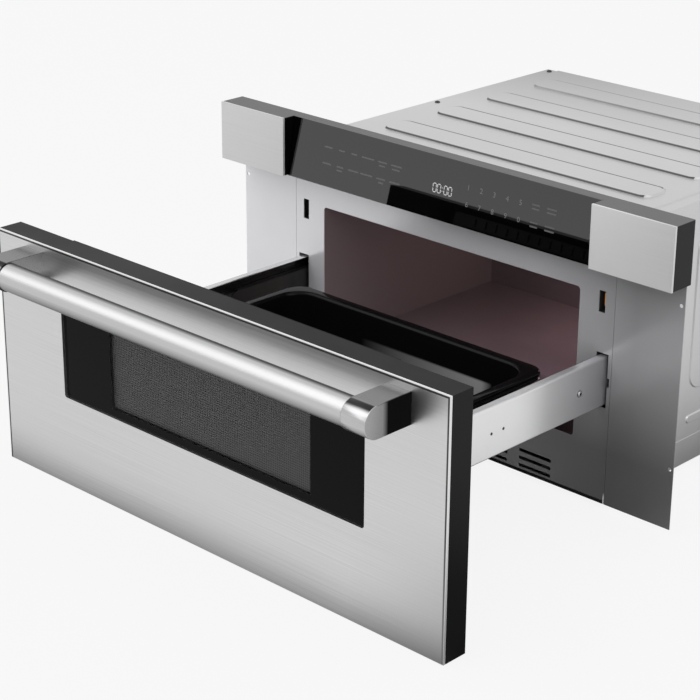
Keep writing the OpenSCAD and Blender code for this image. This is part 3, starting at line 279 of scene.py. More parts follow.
def paint(name, color, rough=(0.3, 0.4), coat=0.0, peel=0.0, shine=0.5, spread=0.08, grain=700,
          bump=0.02 * mm, coatRough=0.04):
    # sprayed or moulded finish: fine grain, faint unevenness, a little orange peel
    mat, tree, surface = startMaterial(name)
    fine = noise(tree, objectCoords(tree), grain, detail=2)
    cloud = noise(tree, objectCoords(tree), scale=9, detail=3)
    tone = blendColors(tree, ramp(tree, cloud, 0, 1), *shades(color, spread))
    tree.links.new(tone, surface.inputs["Base Color"])
    tree.links.new(ramp(tree, cloud, *rough), surface.inputs["Roughness"])
    normal = bumpOf(tree, fine, bump, strength=0.4)
    if peel:
        waves = noise(tree, objectCoords(tree), scale=60, detail=2)
        normal = bumpOf(tree, waves, peel, strength=0.4, under=normal)
    tree.links.new(normal, surface.inputs["Normal"])
    surface.inputs["Specular IOR Level"].default_value = shine
    surface.inputs["Coat Weight"].default_value = coat
    surface.inputs["Coat Roughness"].default_value = coatRough
    return mat


def darkGlass(name, color, rough=0.01, smudge=0.015, spread=0.06, ior=1.5, seen=0.0):
    mat, tree, surface = startMaterial(name)
    smear = noise(tree, objectCoords(tree), scale=8, detail=4)
    tree.links.new(ramp(tree, smear, rough, rough + smudge), surface.inputs["Roughness"])
    tree.links.new(blendColors(tree, ramp(tree, smear, 0, 1), *shades(color, spread)),
                   surface.inputs["Base Color"])
    surface.inputs["IOR"].default_value = ior
    surface.inputs["Alpha"].default_value = 1 - seen
    return mat


def borderedGlass(name, color, s, **other):
    # window glass: clear over the perforated field, black print around it
    mat = darkGlass(name, color, **other)
    tree = mat.node_tree
    surface = tree.nodes["Principled BSDF"]
    tone = surface.inputs["Base Color"].links[0].from_socket
    width = calc(tree, "ABSOLUTE", axisOf(tree, "X"))
    across = ramp(tree, width, 1, 0, s["halfWidth"], s["halfWidth"] + mm)
    height = calc(tree, "ABSOLUTE", calc(tree, "SUBTRACT", axisOf(tree, "Z"), s["middle"]))
    upright = ramp(tree, height, 1, 0, s["halfHeight"], s["halfHeight"] + mm)
    field = calc(tree, "MULTIPLY", across, upright)
    tree.links.new(blendColors(tree, field, s["print"], tone), surface.inputs["Base Color"])
    tree.links.new(ramp(tree, field, 1, 1 - s["seen"], 0, 1), surface.inputs["Alpha"])
    return mat


def dotScreen(name, metal, hole, pitch, radius, soft=0.2, depth=0.3 * mm, rough=0.4):
    # punched sheet: round holes on a square grid in the sheet's own plane
    mat, tree, surface = startMaterial(name)
    square = []
    for letter in ("X", "Z"):
        part = calc(tree, "FRACT", calc(tree, "DIVIDE", axisOf(tree, letter), pitch))
        centre = calc(tree, "SUBTRACT", part, 0.5)
        square.append(calc(tree, "MULTIPLY", centre, centre))
    edge = (radius / pitch) ** 2
    mask = ramp(tree, calc(tree, "ADD", *square), 0, 1, edge * (1 - soft), edge * (1 + soft))
    tree.links.new(blendColors(tree, mask, hole, metal), surface.inputs["Base Color"])
    tree.links.new(bumpOf(tree, mask, depth, strength=0.6), surface.inputs["Normal"])
    surface.inputs["Roughness"].default_value = rough
    return mat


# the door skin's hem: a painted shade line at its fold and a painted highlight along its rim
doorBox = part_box("door_skin")
fold = {
    "half": doorBox[1].x,
    "top": doorBox[1].z,
    "inset": 2.1 * mm,
    "width": 1.4 * mm,
    "lineCore": 0.75,
    "color": grey(0.02),
    "rimStart": 0.8,
    "rimHighlightColor": grey(0.8),
    "rimMetallic": 0.2,
}

# painted shade lines around the edges of the cover's ribs
ribShade = {
    "first": 141.6 * mm,
    "pitch": 108.4 * mm,
    "count": 4,
    "reach": 226.6 * mm,
    "half": 23.6 * mm,
    "radius": 15 * mm,
    "width": 1.7 * mm,
    "farWidth": 3.6 * mm,
    "core": 0.25,
    "nearShift": 0.4 * mm,
    "blend": 2 * mm,
    "near": 5 * mm,
    "fade": 16 * mm,
    "end": 7 * mm,
    "level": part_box("top_cover")[1].z - 4.5 * mm,
    "color": grey(0.03),
}

# the print on the window glass
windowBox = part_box("inner_glass")
windowLook = {
    "print": grey(0.003),
    "seen": 0.75,
    "halfWidth": 171.5 * mm,
    "halfHeight": 54 * mm,
    "middle": (windowBox[0].z + windowBox[1].z) / 2,
}

# finishes: maker, colour and what differs from the maker's own settings
satin = {"rough": (0.2, 0.26), "spangle": 0.004}
enamel = {"peel": 0.03 * mm}
screenLook = {"hole": grey(0.01), "pitch": 3 * mm, "radius": 0.9 * mm}
looks = {
    "doorSteel": (foldedSteel, grey(0.665), {"s": fold, "spread": 0.09}),
    "plateSteel": (brushedMetal, grey(0.66), {"rough": (0.42, 0.5), "metallic": 0.3}),
    "handleSteel": (brushedMetal, (0.58, 0.58, 0.585), {"rough": (0.36, 0.44)}),
    "postSteel": (brushedMetal, (0.54, 0.54, 0.545), {"rough": (0.26, 0.34)}),
    "slideSteel": (brushedMetal, (0.55, 0.55, 0.56), {"scale": (500, 3, 500)}),
    "cageBrass": (brushedMetal, (0.55, 0.42, 0.2), {"scale": (300, 3, 300)}),
    "coverSheet": (ribShadeSheet, grey(0.68), {"s": ribShade, "metallic": 0.75}),
    "zincCover": (sheetMetal, grey(0.68), {"metallic": 0.75}),
    "zincInner": (sheetMetal, (0.60, 0.60, 0.61), {"rough": (0.3, 0.4)}),
    "frameSheet": (sheetMetal, (0.80, 0.80, 0.825), {"metallic": 0.3, **satin}),
    "railSheet": (sheetMetal, (0.86, 0.86, 0.87), {"metallic": 0.6, **satin}),
    "farRailSheet": (sheetMetal, (0.72, 0.72, 0.725), satin),
    "motorMetal": (sheetMetal, (0.4, 0.4, 0.41), {}),
    "bareAluminium": (sheetMetal, (0.62, 0.62, 0.63), {"metallic": 0.95}),
    "darkZinc": (sheetMetal, (0.06, 0.06, 0.065), {"rough": (0.3, 0.4)}),
    "brightZinc": (sheetMetal, (0.62, 0.62, 0.63), {"metallic": 0.95, "rough": (0.22, 0.32)}),
    "slideBlack": (paint, (0.018, 0.018, 0.019), {"rough": (0.25, 0.35)}),
    "doorBlack": (paint, (0.007, 0.007, 0.0075), {"rough": (0.34, 0.42), "shine": 0.12}),
    "barBlack": (paint, (0.022, 0.022, 0.023), {"rough": (0.34, 0.42), "shine": 0.08}),
    "panelBlack": (paint, grey(0.004), {"rough": (0.3, 0.38), "shine": 0.06}),
    "tubEnamel": (paint, (0.004, 0.004, 0.0045), {"rough": (0.1, 0.16), "shine": 0.1, **enamel}),
    "cavityEnamel": (paint, (0.33, 0.24, 0.28), {"rough": (0.14, 0.22), "coat": 0.5, **enamel}),
    "ceramic": (paint, (0.012, 0.012, 0.013), {"rough": (0.08, 0.14), "coat": 0.5}),
    "mould": (paint, (0.03, 0.03, 0.031), {"rough": (0.45, 0.6)}),
    "rubber": (paint, grey(0.015), {"rough": (0.6, 0.75)}),
    "fanPlastic": (paint, (0.05, 0.05, 0.052), {"rough": (0.4, 0.5)}),
    "board": (paint, (0.02, 0.09, 0.04), {"rough": (0.3, 0.45)}),
    "displayFace": (paint, (0.3, 0.3, 0.29), {"rough": (0.4, 0.5)}),
    "mica": (paint, (0.36, 0.29, 0.2), {"rough": (0.4, 0.6)}),
    "ceramicWhite": (paint, (0.7, 0.67, 0.6), {}),
    "coreIron": (paint, (0.09, 0.05, 0.035), {"rough": (0.4, 0.55)}),
    "springBronze": (paint, (0.85, 0.33, 0.08), {"rough": (0.25, 0.35)}),
    # black standing in for shade: painted shade in the screws' crosses, the handle's necks and the left
    # lever
    "recess": (paint, grey(0.004), {"rough": (0.5, 0.6), "shine": 0.1}),
    "printWhite": (paint, grey(0.8), {"rough": (0.4, 0.5)}),
    "printGrey": (paint, grey(0.2), {"rough": (0.4, 0.5)}),
    "printFaint": (paint, grey(0.12), {"rough": (0.4, 0.5)}),
    "controlGlass": (darkGlass, grey(0.001), {"ior": 1.75}),
    "windowGlass": (borderedGlass, (0.03, 0.03, 0.031), {"s": windowLook, "rough": 0.015, "ior": 1.14}),
    "innerGlass": (darkGlass, grey(0.02), {"seen": 0.4}),
    "screen": (dotScreen, grey(0.15), screenLook),
}
finishes = {name: maker(name, color, **extra) for name, (maker, color, extra) in looks.items()}

# tones laid into the finishes by place, most of them painted shade and painted highlights, over one
# another in this order; each row is a colour, a metallic level and spans along the axes: letter,
# low, high and softness
beyond = 1
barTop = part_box("bar_housing")[1].z
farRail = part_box("left_rail")
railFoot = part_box("right_rail")[0].z
post = (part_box("handle_posts")[0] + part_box("handle_posts")[1]) / 2
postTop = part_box("handle_posts")[1].z
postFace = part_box("handle_posts")[0].y
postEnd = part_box("handle_posts")[1].x
postSides = ("X", -postEnd + mm, postEnd - mm, 0.2 * mm)
tube = (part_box("handle_bar")[0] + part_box("handle_bar")[1]) / 2
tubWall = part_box("drawer_tub")[1].y - 22 * mm
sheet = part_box("front_frame")
tones = {
    # painted highlight on the top edge, then painted shade on the front behind the glass
    "barBlack": (
        (grey(0.14), 0, ("Z", barTop - 0.4 * mm, beyond, 0.2 * mm)),
        (grey(0.002), 0, ("X", -0.3, 0.3, mm), ("Z", -beyond, barTop - mm, 0.2 * mm)),
    ),
    # the black slide members that cover the inner face of the far rail
    "farRailSheet": (
        (grey(0.008), 0, ("X", farRail[0].x + 10.5 * mm, beyond, 0.1 * mm),
         ("Z", -beyond, farRail[1].z - 0.6 * mm, 0.1 * mm)),
    ),
    # a dark line along the bottom edge, then painted shade falling off towards the cabinet
    "railSheet": (
        (grey(0.01), 0, ("Z", -beyond, railFoot + 1.3 * mm, 0.3 * mm)),
        ((0.36, 0.36, 0.38), 0.6, ("Y", -0.06, beyond, 0.07)),
    ),
    # painted shade and painted dark reflections on the posts: top face towards the door, a band across
    # it, underside and the right end towards the door
    "postSteel": (
        (grey(0.26), 1, ("Z", postTop - 0.6 * mm, beyond, 0.2 * mm),
         ("Y", postFace + 18 * mm, beyond, mm)),
        (grey(0.04), 1, ("Z", post.z + 12 * mm, beyond, 3 * mm),
         ("Y", postFace + 7 * mm, postFace + 17 * mm, 2 * mm), postSides),
        (grey(0.1), 1, ("Z", -beyond, post.z - 10 * mm, 6 * mm), postSides),
        (grey(0.004), 1, ("X", postEnd - 1.5 * mm, beyond, 0.3 * mm),
         ("Y", postFace + 31 * mm, beyond, 4 * mm)),
    ),
    # painted shade on the underside, then on the side towards the door
    "handleSteel": (
        (grey(0.13), 1, ("Z", -beyond, tube.z - 6 * mm, 7 * mm)),
        (grey(0.04), 1, ("Y", tube.y - mm, beyond, 3 * mm)),
    ),
    # painted highlight in the middle of the right plate
    "plateSteel": (
        (grey(0.85), 0.3, ("X", 0.2, 0.33, 0.06)),
    ),
    # painted shade on the lower right corner of the door
    "doorSteel": (
        (grey(0.42), 1, ("X", 0.35, beyond, 0.12), ("Z", -beyond, -0.12, 0.09)),
    ),
    # painted light: a lit strip on the back wall of the tub
    "tubEnamel": (
        (grey(0.36), 0, ("Y", tubWall - 6 * mm, tubWall + 6 * mm, 2 * mm),
         ("Z", -0.085, -0.0405, 0.0015), ("X", 0.02, beyond, 0.1), ("X", -beyond, 0.136, 0.008)),
    ),
    # painted shade falling off to the right and towards the foot, a dark band along the bottom edge and
    # a painted highlight at the foot of the right edge
    "frameSheet": (
        ((0.40, 0.40, 0.41), 0.3, ("X", 0.225, beyond, 0.08)),
        (grey(0.17), 0.3, ("Z", -beyond, -0.045, 0.07), ("X", 0.13, beyond, 0.15)),
        (grey(0.012), 0, ("Z", -beyond, sheet[0].z + 5 * mm, 0.6 * mm),
         ("X", sheet[0].x + mm, sheet[1].x - mm, 0.2 * mm)),
        (grey(0.9), 0, ("X", sheet[1].x - 1.6 * mm, sheet[1].x, 0.3 * mm),
         ("Z", -beyond, sheet[0].z + 13 * mm, 3 * mm)),
    ),
    # painted shade on the back left corner of the cover
    "coverSheet": (
        (grey(0.46), 0.75, ("Y", 0.42, beyond, 0.12), ("X", -beyond, 0.0, 0.25)),
    ),
    # painted shade to the left, then a painted shadow behind the tub
    "cavityEnamel": (
        ((0.24, 0.19, 0.2), 0, ("X", -beyond, -0.1, 0.15)),
        (grey(0.008), 0, ("Y", -beyond, 0.11, 0.02), ("Z", -beyond, -0.1, 0.006)),
    ),
}

for name, rows in tones.items():
    tree = finishes[name].node_tree
    for color, metallic, *spans in rows:
        mask = 1
        for span in spans:
            mask = calc(tree, "MULTIPLY", mask, within(tree, *span))
        overlay(finishes[name], mask, color, metallic)
print("finishes made:", len(finishes), "with tones in", len(tones))

finishOf = {
    "base_pan": "zincCover", "back_panel": "zincCover", "left_side_panel": "zincCover",
    "right_side_panel": "zincCover", "top_cover": "coverSheet", "slide_brackets": "zincInner",
    "front_frame": "frameSheet", "left_flange": "frameSheet", "right_flange": "frameSheet",
    "cavity_liner": "cavityEnamel", "waveguide": "bareAluminium", "stirrer_blade": "bareAluminium",
    "magnetron": "bareAluminium", "transformer": "coreIron", "capacitor": "bareAluminium",
    "fan_housing": "fanPlastic", "fan_blade": "fanPlastic", "fan_motor": "motorMetal",
    "stirrer_motor": "motorMetal", "stirrer_cover": "mica", "oven_lamp": "ceramicWhite",
    "latch_housings": "mould", "left_latch_hook": "mould", "right_latch_hook": "mould",
    "interlock_switches": "rubber", "cord_bushing": "rubber",
    # the left lever is painted black, as shade in its slot
    "left_switch_lever": "recess", "right_switch_lever": "springBronze",
    "power_board": "board", "touch_board": "board",
    "left_slide_outer": "slideSteel", "right_slide_outer": "slideSteel",
    "left_slide_inner": "slideSteel", "right_slide_inner": "slideSteel",
    "left_slide_middle": "slideBlack", "right_slide_middle": "slideBlack",
    "outer_ball_cages": "cageBrass", "inner_ball_cages": "cageBrass",
    "cabinet_screws": "darkZinc", "door_screws": "brightZinc", "rail_screws": "brightZinc",
    "latch_pins": "brightZinc", "bar_housing": "barBlack", "left_bar_plate": "plateSteel",
    "right_bar_plate": "plateSteel", "door_skin": "doorSteel", "control_glass": "controlGlass",
    "display_module": "displayFace", "door_core": "doorBlack", "window_glass": "windowGlass",
    "window_screen": "screen", "inner_panel": "panelBlack", "inner_glass": "innerGlass",
    "choke_frame": "mould", "handle_bar": "handleSteel", "handle_posts": "postSteel",
    "drawer_tub": "tubEnamel", "floor_plate": "ceramic", "left_rail": "farRailSheet",
    "right_rail": "railSheet",
}

for name, obj in nodes.items():
    obj.data.materials.clear()
    obj.data.materials.append(finishes[finishOf[name]])
print("finishes given to", len(finishOf), "nodes")

# small roundings on the cut and moulded edges of the CAD pieces
rounding = {
    "widths": {"door_core": 0.6 * mm, "bar_housing": 0.6 * mm, "handle_posts": 1.0 * mm,
               "control_glass": 0.5 * mm},
    "weld": 0.01 * mm,
    "segments": 2,
    "angle": 35,
}


def softenEdges(obj, width, s):
    weld = obj.modifiers.new("weld", "WELD")
    weld.merge_threshold = s["weld"]
    bevel = obj.modifiers.new("bevel", "BEVEL")
    bevel.width = width
    bevel.segments = s["segments"]
    bevel.limit_method = "ANGLE"
    bevel.angle_limit = math.radians(s["angle"])
    bevel.harden_normals = True


for name, width in rounding["widths"].items():
    softenEdges(nodes[name], width, rounding)
print("edges rounded on", len(rounding["widths"]), "nodes")


# helpers for the pieces made here
def addPiece(name, mesh, *finish, smooth=35):
    bmesh.ops.recalc_face_normals(mesh, faces=mesh.faces)
    for face in mesh.faces:
        face.smooth = True
    data = bpy.data.meshes.new(name)
    mesh.to_mesh(data)
    mesh.free()
    data.set_sharp_from_angle(angle=math.radians(smooth))
    for key in finish:
        data.materials.append(finishes[key])
    piece = bpy.data.objects.new(name, data)
    bpy.context.scene.collection.objects.link(piece)
    return piece


def quarterTurn(letter, size=3):
    return Matrix.Rotation(math.pi / 2, size, letter)


def outline(mesh, width, length, radius, z, segments=8):
    # a rectangle with round corners at a height, as a loop of edges
    made = bmesh.ops.create_grid(mesh, x_segments=1, y_segments=1, size=1)["verts"]
    bmesh.ops.scale(mesh, verts=made, vec=(width / 2, length / 2, 1))
    bmesh.ops.translate(mesh, verts=made, vec=(0, 0, z))
    face = made[0].link_faces[0]
    done = bmesh.ops.bevel(mesh, geom=list(face.verts), offset=radius, segments=segments,
                           affect="VERTICES", profile=0.5, material=-1)
    faces = set(f for v in done["verts"] for f in v.link_faces)
    edges = list(set(e for f in faces for e in f.edges))
    bmesh.ops.delete(mesh, geom=list(faces), context="FACES_ONLY")
    return edges


def ring(mesh, radius, x, segments=96):
    # a circle around the X axis, as a loop of edges
    made = bmesh.ops.create_circle(mesh, segments=segments, radius=radius)["verts"]
    bmesh.ops.rotate(mesh, verts=made, cent=(0, 0, 0), matrix=quarterTurn("Y"))
    bmesh.ops.translate(mesh, verts=made, vec=(x, 0, 0))
    return list(set(e for v in made for e in v.link_edges))


def bridge(mesh, loops):
    for first, second in zip(loops, loops[1:]):
        bmesh.ops.bridge_loops(mesh, edges=first + second)


def cap(mesh, loop):
    bmesh.ops.contextual_create(mesh, geom=loop)


def lift(mesh, faces, rise):
    # faces made into a closed block of a given height
    up = bmesh.ops.extrude_face_region(mesh, geom=faces, use_keep_orig=True)["geom"]
    raised = [g for g in up if isinstance(g, bmesh.types.BMVert)]
    bmesh.ops.translate(mesh, verts=raised, vec=(0, 0, rise))


def join(mesh, new):
    # a finished small mesh added to a larger one
    data = bpy.data.meshes.new("part")
    new.to_mesh(data)
    new.free()
    mesh.from_mesh(data)
    bpy.data.meshes.remove(data)


# handle bar: a tube with eased ends and a narrow neck at each post, the neck black as painted shade in
# the gap
handle = {
    "neck": 16 * mm,
    "gap": 1.2 * mm,
    "ease": 0.6 * mm,
    "slack": 0.1 * mm,
}


def makeHandle(s):
    low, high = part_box("handle_bar")
    half = (high.x - low.x) / 2
    radius = (high.z - low.z) / 2
    side = [(s["neck"], half), (s["neck"], half - s["gap"]), (radius - s["ease"], half - s["gap"]),
            (radius, half - s["gap"] - s["ease"])]
    mesh = bmesh.new()
    places = [(r, -x) for r, x in side] + [(r, x) for r, x in reversed(side)]
    loops = [ring(mesh, r, x) for r, x in places]
    bridge(mesh, loops)
    cap(mesh, loops[0])
    cap(mesh, loops[-1])
    centre = (low + high) / 2
    bmesh.ops.translate(mesh, verts=mesh.verts, vec=centre)
    for face in mesh.faces:
        reach = max(math.hypot(v.co.y - centre.y, v.co.z - centre.z) for v in face.verts)
        # the necks take the second finish, black as painted shade
        face.material_index = 1 if reach < s["neck"] + s["slack"] else 0
    piece = addPiece("handleTube", mesh, "handleSteel", "recess")
    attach(piece, "drawer")
    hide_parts("handle_bar")
    print("handle made")


# enamelled tub: turned-down rim, rolled into a drafted well with a filleted floor. The rim's corner
# radius stays near the well's, or the loops bridge across the opening
tub = {
    "above": 12 * mm,
    "border": 17 * mm,
    "rimRadius": 24 * mm,
    "wellRadius": 32 * mm,
    "turn": 8 * mm,
    "outerRoll": 3.5 * mm,
    "innerRoll": 5 * mm,
    "draft": 5 * mm,
    "fillet": 7 * mm,
    "steps": 5,
    "wall": 1.6 * mm,
    "viewHalf": 160 * mm,
    "viewHigh": 12 * mm,
    "viewLow": 56 * mm,
    "plateHalf": 176 * mm,
    "platePlace": 0.2 * mm,
}


def tubSections(s, width, length, rim, floor):
    turns = [k * math.pi / (2 * s["steps"]) for k in range(s["steps"] + 1)]
    well = width - 2 * s["border"]
    run = length - 2 * s["border"]
    sections = [(width, length, s["rimRadius"], rim - s["turn"])]
    for a in turns:
        pull = s["outerRoll"] * (1 - math.cos(a))
        drop = s["outerRoll"] * (1 - math.sin(a))
        sections.append((width - 2 * pull, length - 2 * pull, s["rimRadius"] - pull, rim - drop))
    for a in reversed(turns):
        push = s["innerRoll"] * (1 - math.cos(a))
        drop = s["innerRoll"] * (1 - math.sin(a))
        sections.append((well + 2 * push, run + 2 * push, s["wellRadius"] + push, rim - drop))
    for a in turns:
        pull = s["draft"] + s["fillet"] * (1 - math.cos(a))
        rise = s["fillet"] * (1 - math.sin(a))
        sections.append((well - 2 * pull, run - 2 * pull, s["wellRadius"] - pull, floor + rise))
    return sections


def makeTub(s):
    low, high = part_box("drawer_tub")
    rim = high.z - s["above"]
    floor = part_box("floor_plate")[0].z
    sections = tubSections(s, high.x - low.x, high.y - low.y, rim, floor)
    mesh = bmesh.new()
    loops = [outline(mesh, *section) for section in sections]
    bridge(mesh, loops)
    cap(mesh, loops[-1])
    bmesh.ops.translate(mesh, verts=mesh.verts, vec=(0, (low.y + high.y) / 2, 0))
    plate = bmesh.ops.create_grid(mesh, x_segments=1, y_segments=1, size=1)["verts"]
    bmesh.ops.rotate(mesh, verts=plate, cent=(0, 0, 0), matrix=quarterTurn("X"))
    bmesh.ops.scale(mesh, verts=plate, vec=(s["plateHalf"], 1, (high.z - low.z) / 2))
    bmesh.ops.translate(mesh, verts=plate, vec=(0, low.y + s["platePlace"], (low.z + high.z) / 2))
    view = [((s["viewHalf"], 0, 0), (1, 0, 0)), ((-s["viewHalf"], 0, 0), (1, 0, 0)),
            ((0, 0, rim - s["viewHigh"]), (0, 0, 1)), ((0, 0, rim - s["viewLow"]), (0, 0, 1))]
    for place, normal in view:
        geom = mesh.verts[:] + mesh.edges[:] + mesh.faces[:]
        bmesh.ops.bisect_plane(mesh, geom=geom, plane_co=place, plane_no=normal)
    gone = []
    for face in mesh.faces:
        c = face.calc_center_median()
        upright = rim - s["viewLow"] < c.z < rim - s["viewHigh"]
        if upright and abs(c.x) < s["viewHalf"] and c.y < low.y + 2 * s["border"]:
            gone.append(face)
    bmesh.ops.delete(mesh, geom=gone, context="FACES")
    piece = addPiece("enamelTub", mesh, "tubEnamel")
    wall = piece.modifiers.new("wall", "SOLIDIFY")
    wall.thickness = s["wall"]
    wall.offset = -1
    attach(piece, "drawer")
    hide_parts("drawer_tub")
    print("tub made")


# print on the control glass, in millimetres along its face: clock, number keys and plain bars for
# the keys' names
panel = {
    "glass": 3 * mm,
    "rise": 0.06,
    "clock": {"x": 14, "h": 40, "digit": 5.4, "height": 11, "pitch": 7.4, "stroke": 1.2,
              "places": (-1.75, -0.75, 0.75, 1.75), "colon": 0.2},
    "keys": {"x": 56, "pitch": 21, "upper": 48.5, "lower": 27, "size": 9.45},
    "bars": {"height": 2, "upper": 51.5, "lower": 29.5, "second": 5, "rightLift": 1},
    "upper": [(-196, -181), (-170, -159), (-147, -136), (-128, -106), (-99, -83), (-76, -57)],
    "lower": [(-197, -181), (-171, -158), (-150, -131), (-128, -106), (-99, -83), (-76, -58)],
    "upperSecond": [(-97, -86), (-74, -60)],
    "lowerSecond": [(-170, -160), (-95, -86)],
    "right": [(158, 170), (181, 196)],
}


def strip(mesh, x0, x1, h0, h1, rise, roundness=0.45):
    # a thin bar with round ends, in millimetres of width, height and rise
    new = bmesh.new()
    radius = min(x1 - x0, h1 - h0) * roundness
    made = bmesh.ops.create_grid(new, x_segments=1, y_segments=1, size=0.5)["verts"]
    bmesh.ops.scale(new, verts=made, vec=(x1 - x0, h1 - h0, 1))
    bmesh.ops.translate(new, verts=made, vec=((x0 + x1) / 2, (h0 + h1) / 2, 0))
    bmesh.ops.bevel(new, geom=new.verts[:], offset=radius, segments=3, affect="VERTICES",
                    profile=0.5, material=-1)
    lift(new, new.faces[:], rise)
    join(mesh, new)


def clockMesh(s, rise):
    mesh = bmesh.new()
    w, h, t = s["digit"], s["height"], s["stroke"]
    for step in s["places"]:
        x = s["x"] + step * s["pitch"]
        left, right = x - w / 2, x + w / 2
        low, high = s["h"] - h / 2, s["h"] + h / 2
        for side in (left, right):
            for start in (low, s["h"]):
                strip(mesh, side - t / 2, side + t / 2, start + t / 2, start + h / 2 - t / 2, rise)
        for level in (low, high):
            strip(mesh, left + t / 2, right - t / 2, level - t / 2, level + t / 2, rise)
    for level in (s["h"] - h * s["colon"], s["h"] + h * s["colon"]):
        strip(mesh, s["x"] - t / 2, s["x"] + t / 2, level - t / 2, level + t / 2, rise)
    return mesh


def numberMesh(s, rise):
    mesh = bmesh.new()
    for row, digits in (("upper", "12345"), ("lower", "67890")):
        for index, digit in enumerate(digits):
            curve = bpy.data.curves.new("digit", "FONT")
            curve.body = digit
            curve.size = s["size"]
            curve.align_x = "CENTER"
            curve.extrude = rise
            letter = bpy.data.objects.new("digit", curve)
            data = bpy.data.meshes.new_from_object(letter)
            data.transform(Matrix.Translation((s["x"] + index * s["pitch"], s[row], 0)))
            mesh.from_mesh(data)
            bpy.data.objects.remove(letter)
            bpy.data.curves.remove(curve)
            bpy.data.meshes.remove(data)
    return mesh


def barMesh(s):
    mesh = bmesh.new()
    b = s["bars"]
    rows = [(s[row], b[row]) for row in ("upper", "lower")]
    rows += [(s[row + "Second"], b[row] - b["second"]) for row in ("upper", "lower")]
    for row in ("upper", "lower"):
        for drop in (0, b["second"]):
            rows.append((s["right"], b[row] - drop + b["rightLift"]))
    for spans, level in rows:
        for x0, x1 in spans:
            strip(mesh, x0, x1, level, level + b["height"], s["rise"])
    return mesh


def makePanelPrint(s):
    low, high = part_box("control_glass")
    top = Vector((0, high.y - s["glass"], high.z))
    foot = Vector((0, low.y, low.z))
    up = (top - foot).normalized()
    out = Vector((1, 0, 0)).cross(up)
    turn = Matrix((Vector((1, 0, 0)), up, out)).transposed().to_4x4()
    place = Matrix.Translation(foot) @ turn @ Matrix.Scale(mm, 4)
    prints = (("clockDigits", clockMesh(s["clock"], s["rise"]), "printWhite"),
              ("numberKeys", numberMesh(s["keys"], s["rise"]), "printGrey"),
              ("keyBars", barMesh(s), "printFaint"))
    for name, mesh, finish in prints:
        bmesh.ops.transform(mesh, matrix=place, verts=mesh.verts)
        piece = addPiece(name, mesh, finish)
        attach(piece, "cabinet")
    print("panel print made")


# screw and rivet heads, domed; each screw has a cross of black bars in its dome, painted shade for a
# recessed cross; the profile is in shares of the radius and of the height
heads = {
    "radius": 3.9 * mm,
    "height": 2.0 * mm,
    "seat": 0.6 * mm,
    "rivetRadius": 1.8 * mm,
    "rivetHeight": 0.6 * mm,
    "rivetPitch": 21.5 * mm,
    "profile": ((1, 0), (1, 0.35), (0.94, 0.62), (0.8, 0.84), (0.55, 0.96), (0.25, 1)),
    "sides": 24,
    "slot": 0.55 * mm,
    "reach": 2.2 * mm,
    "crossDepth": 0.5,
    "crossFoot": 0.54,
    "railStep": 10 * mm,
    "railTurn": 28,
    "coverTurns": (20, 45, 70),
}


def addHead(mesh, s, radius, height, place, cross, material=0):
    # a dome around X from its base outwards; the cross takes the second material, black as painted
    # shade
    new = bmesh.new()
    loops = [ring(new, radius * r, height * x, s["sides"]) for r, x in s["profile"]]
    bridge(new, loops)
    cap(new, loops[0])
    cap(new, loops[-1])
    for face in new.faces:
        face.material_index = material
    bmesh.ops.transform(new, matrix=place, verts=new.verts)
    join(mesh, new)
    if not cross:
        return
    for width, depth in ((s["reach"], s["slot"]), (s["slot"], s["reach"])):
        bar = bmesh.new()
        bmesh.ops.create_grid(bar, x_segments=1, y_segments=1, size=1)
        bmesh.ops.scale(bar, verts=bar.verts, vec=(width, depth, 1))
        lift(bar, bar.faces[:], height * s["crossDepth"])
        bmesh.ops.rotate(bar, verts=bar.verts, cent=(0, 0, 0), matrix=quarterTurn("Y"))
        bmesh.ops.translate(bar, verts=bar.verts, vec=(height * s["crossFoot"], 0, 0))
        bmesh.ops.transform(bar, matrix=place, verts=bar.verts)
        for face in bar.faces:
            face.material_index = 1
        join(mesh, bar)


def makeRailHeads(s):
    # two rivets near the door and one screw near the back, on each rail's outer face
    low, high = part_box("rail_screws")
    z = (low.z + high.z) / 2
    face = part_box("right_rail")[1].x - s["railStep"]
    firstY = low.y + s["rivetRadius"]
    screwY = high.y - s["radius"]
    tilt = Matrix.Rotation(math.radians(s["railTurn"]), 4, "X")
    mesh = bmesh.new()
    for x, angle in ((face, 0), (-face, math.pi)):
        turn = Matrix.Rotation(angle, 4, "Z")
        for y in (firstY, firstY + s["rivetPitch"]):
            place = Matrix.Translation((x, y, z)) @ turn
            addHead(mesh, s, s["rivetRadius"], s["rivetHeight"], place, False)
        place = Matrix.Translation((x, screwY, z)) @ turn @ tilt
        addHead(mesh, s, s["radius"], s["height"], place, True, 2)
        # a dark ring around the screw's head, painted shade for the gap around it
        addHead(mesh, s, s["radius"] + s["seat"], s["seat"], place, False)
    piece = addPiece("railFixings", mesh, "darkZinc", "recess", "brightZinc")
    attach(piece, "drawer")
    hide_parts("rail_screws")
    print("rail heads made")


def makeCoverHeads(s):
    low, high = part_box("cabinet_screws")
    xs = (low.x + s["radius"], high.x - s["radius"])
    ys = (low.y + s["radius"], (low.y + high.y) / 2, high.y - s["radius"])
    mesh = bmesh.new()
    stand = Matrix.Rotation(-math.pi / 2, 4, "Y")
    for x in xs:
        for y, angle in zip(ys, s["coverTurns"]):
            tilt = Matrix.Rotation(math.radians(angle), 4, "X")
            place = Matrix.Translation((x, y, high.z - s["height"])) @ stand @ tilt
            addHead(mesh, s, s["radius"], s["height"], place, True)
    piece = addPiece("coverScrews", mesh, "darkZinc", "recess")
    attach(piece, "cabinet")
    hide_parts("cabinet_screws")
    print("cover heads made")


